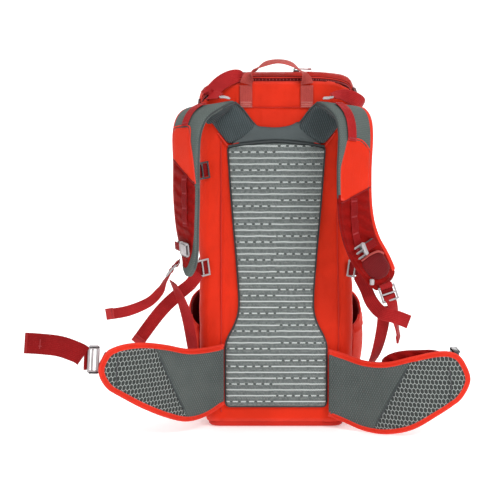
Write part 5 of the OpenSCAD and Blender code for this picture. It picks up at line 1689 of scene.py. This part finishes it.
# sternum sliders and buckle halves
def strap_frame(st, i):
    """Centre, along, across and outward at a row position of the strap's table."""
    s = float(np.interp(i * st.k, np.arange(len(st.L)), st.L))
    C, T, W, N, w, t = st.at([s])
    return s, C[0], T[0], W[0], N[0], t[0]


for st, i, nm, sx in ((SR_, 7.85, "right", 1), (SL_, 7.75, "left", -1)):
    s, C, T, W, N, t = strap_frame(st, i)
    m = np.array([sx, 1, 1])
    Cm, Tm, Wm, Nm = C * m, T * m, W * m, N * m
    o = Cm + Nm * (t / 2 + 5.3)
    B = Build()
    for q in (-1, 1):
        tube_into(B, np.array([o - Wm * 12 + Tm * q * 3.8, o + Wm * 12 + Tm * q * 3.8]), 1.8, 10, 0, up=Nm, flat=0.95)
        box_into(B, o + Wm * q * 10, Tm, Wm, (11, 6, 3.8), 0, 1.2)
    B.make("sternum_slider_" + nm, [M_BUCKLE_D], "sternum_slide_" + nm, "buckle_plastic", replaces=("sternum_slider_" + nm,))
    o = Cm + Nm * (t / 2 + 10.4)
    B = Build()
    base = o + Wm * 4
    rows = np.array([[*(base + Wm * a + Nm * b), *Tm, 12, 1.4] for a, b in ((-16, 0), (-8, 0.2), (2.3, 0))])
    ribbon_into(B, rows, 6, 1)
    box_into(B, base + Wm * 5.3, Wm, Tm, (6, 20, 6.4), 0, 1.6)
    if nm == "right":
        for q in (-8.5, 0, 8.5):
            box_into(B, base + Wm * 14.3 + Tm * q, Wm, Tm, (13.6, 2.8, 3.4), 0, 1.0)
    else:
        for q in (-8.6, 8.6):
            box_into(B, base + Wm * 15.6 + Tm * q, Wm, Tm, (15.2, 2.8, 6.2), 0, 1.2)
        for q in (-2.5, 2.5):
            box_into(B, base + Wm * 15.6 + Nm * q, Wm, Tm, (15.2, 17, 1.4), 0, 0.5)
    B.make("sternum_buckle_" + nm, [M_BUCKLE, M_WEB_D], "sternum_end_" + nm, "buckle_plastic", replaces=("sternum_buckle_" + nm,))

# belt buckle halves
c, x = np.array([-269, -222, 126.0]), unit([-0.93, -0.36, 0.06])
y = unit(np.array([0, 0, 1.0]) - np.array([0, 0, 1.0]) @ x * x)
z = np.cross(x, y)
B = Build()
for q in (-1, 1):
    box_into(B, c - x * 3 + y * q * 18.4, x, y, (15.6, 5, 7.6), 0, 1.8)
for a, r in ((-9.0, 2.4), (-0.9, 1.5), (4.4, 1.9)):
    tube_into(B, np.array([c + x * a - y * 18, c + x * a - y * 9, c + x * a, c + x * a + y * 9, c + x * a + y * 18]), r, 10, 0, up=z, flat=1.25)
B.make("belt_buckle_male", [M_BUCKLE], "belt_end_left", "buckle_plastic", replaces=("belt_buckle_male",))
c, x, y, z = np.array([268, -160, 109.0]), np.array([0, 1.0, 0]), np.array([0, 0, 1.0]), np.array([1.0, 0, 0])
B = Build()
for q in (-1, 1):
    box_into(B, c + x * 22 + y * q * 17.8, x, y, (44, 4.4, 9.6), 0, 2.2)
for q in (-1, 1):
    box_into(B, c + x * 27 + z * q * 4.0, x, y, (34, 33, 1.9), 0, 0.7)
tube_into(B, np.array([c + x * 2.0 - y * 17, c + x * 2.0, c + x * 2.0 + y * 17]), 2.1, 10, 0, up=z, flat=1.2)
box_into(B, c + x * 10.2, x, y, (4.0, 33, 9.0), 0, 1.2)
B.make("belt_buckle_female", [M_BUCKLE_D], "belt_end_right", "buckle_plastic", replaces=("belt_buckle_female",))
# short webbing from the wings' tips into the buckle halves
B = Build()
ribbon_into(B, np.array([[258, -171.5, 100, 0.0, 0, 1, 26, 2.0], [264, -169, 104, 0, 0, 1, 28, 2.0], [268, -161, 108, 0, 0, 1, 30, 2.0]]), 6, 0)
B.make("belt_anchor_right", [M_WEB_D], "wing_right", "webbing")
B = Build()
ribbon_into(B, np.array([[-243, -216.5, 117, 0, 0, 1, 26, 2.0], [-250, -216, 120, 0, 0, 1, 28, 2.0], [-256.6, -217.6, 123.6, 0, 0, 1, 29, 2.0]]), 6, 0)
B.make("belt_anchor_left", [M_WEB_D], "wing_left", "webbing")
B = Build()
c, x = np.array([-269, -222, 126.0]), unit([-0.93, -0.36, 0.06])
ribbon_into(B, np.array([[*(c + x * a + np.cross(x, (0, 0, 1)) * b), 0, 0.0, 1, 30, 1.7] for a, b in ((4.4, 3.0), (7.6, 1.4), (9.5, -0.5), (11.5, -1.5))]), 6, 0)
B.make("belt_tail_fold", [M_WEB_D], "belt_end_left", "webbing")

# ------------------------------------------------------------------ haul loop, axe loops and inner pieces
LOOP = [[-46, -95.2, 526, 1, 0, 0.1, 19], [-43, -98, 534, 1, -0.2, 0.5, 18], [-34, -101, 545, 0.5, -0.9, 0.6, 18], [-18, -105, 555, 0.2, -1, -0.3, 18], [2, -106, 559, 0, -1, -0.35, 18], [22, -105, 555, -0.2, -1, -0.3, 18], [37, -101, 544, -0.5, -0.9, 0.4, 18], [44, -98, 534, -0.8, -0.6, 0.2, 18], [46, -95.2, 526, -1, 0, 0.1, 19]]
R = np.column_stack([np.array(LOOP, float), np.full(9, 1.9)])
B = Build()
ribbon_into(B, R, 10, 0)
B.make("haul_loop", [M_WEB_P], "handle", "webbing", replaces=("haul_loop",))
B = Build()
for s in (-1, 1):
    ribbon_into(B, np.array([[s * 46, -94.2, 490, 1, 0, 0, 19, 1.9], [s * 46, -94.4, 500, 1, 0, 0, 19, 1.9], [s * 46, -94.2, 512, 1, 0, 0, 19, 1.9], [s * 46, -94.1, 523.4, 1, 0, 0, 19, 1.9]]), 6, 0)
    for z in (492.2, 495.2, 498.2):
        box_into(B, (s * 46, -95.3, z), (1, 0, 0), (0, 0, 1), (17, 1.0, 0.9), 1, 0.3)
B.make("haul_loop_tabs", [M_WEB_P, M_THREAD_L], "bag", "webbing", replaces=("haul_loop_tabs",))
B = Build()
for s in (-1, 1):
    zz = [24, 30, 40, 50, 60, 72, 80, 88, 96]
    lift = [1.8, 1.8, 2.0, 5.5, 7.0, 5.0, 2.4, 1.8, 1.8]
    ribbon_into(B, np.array([[s * 44, front_y(z) + l, z, 1, 0, 0, 16, 1.8] for z, l in zip(zz, lift)]), 5, 0)
    for z in (28, 36, 84, 92):
        box_into(B, (s * 44, front_y(z) + 3.2, z), (1, 0, 0), (0, 0, 1), (14, 1.6, 1.0), 1, 0.3)
B.make("axe_loops", [M_WEB_D, M_THREAD], "bag", "webbing", replaces=("axe_loops",))
pad("hydration_sleeve", round_corners(np.array([(-72, 30), (72, 30), (76, 50), (76, 400), (-76, 400), (-76, 50)]), 10, 4), lambda uv, o: np.stack([uv[:, 0], -74.2 + np.asarray(o), uv[:, 1]], -1),
    lambda uv, d: 0.7 + 1.6 * (0.5 + 0.5 * snoise(np.stack([uv[:, 0], 0 * d, uv[:, 1]], -1), 50, 11)) * np.clip(d / 14, 0, 1), lambda uv, d: 0 * d + 0.7, [M_LINING], "bag", "shell_fabric", step=7.0, rings=(1.5, 4), replaces=("hydration_sleeve",))
nodes = frame["nodes"]
for nm, mat in (("framesheet", M_FRAME), ("frame_hoop", M_ALU)):
    ob = nodes[nm] if isinstance(nodes, dict) else bpy.data.objects[nm]
    ob = ob if isinstance(ob, bpy.types.Object) else bpy.data.objects[nm]
    ob.data.materials.clear()
    ob.data.materials.append(mat)
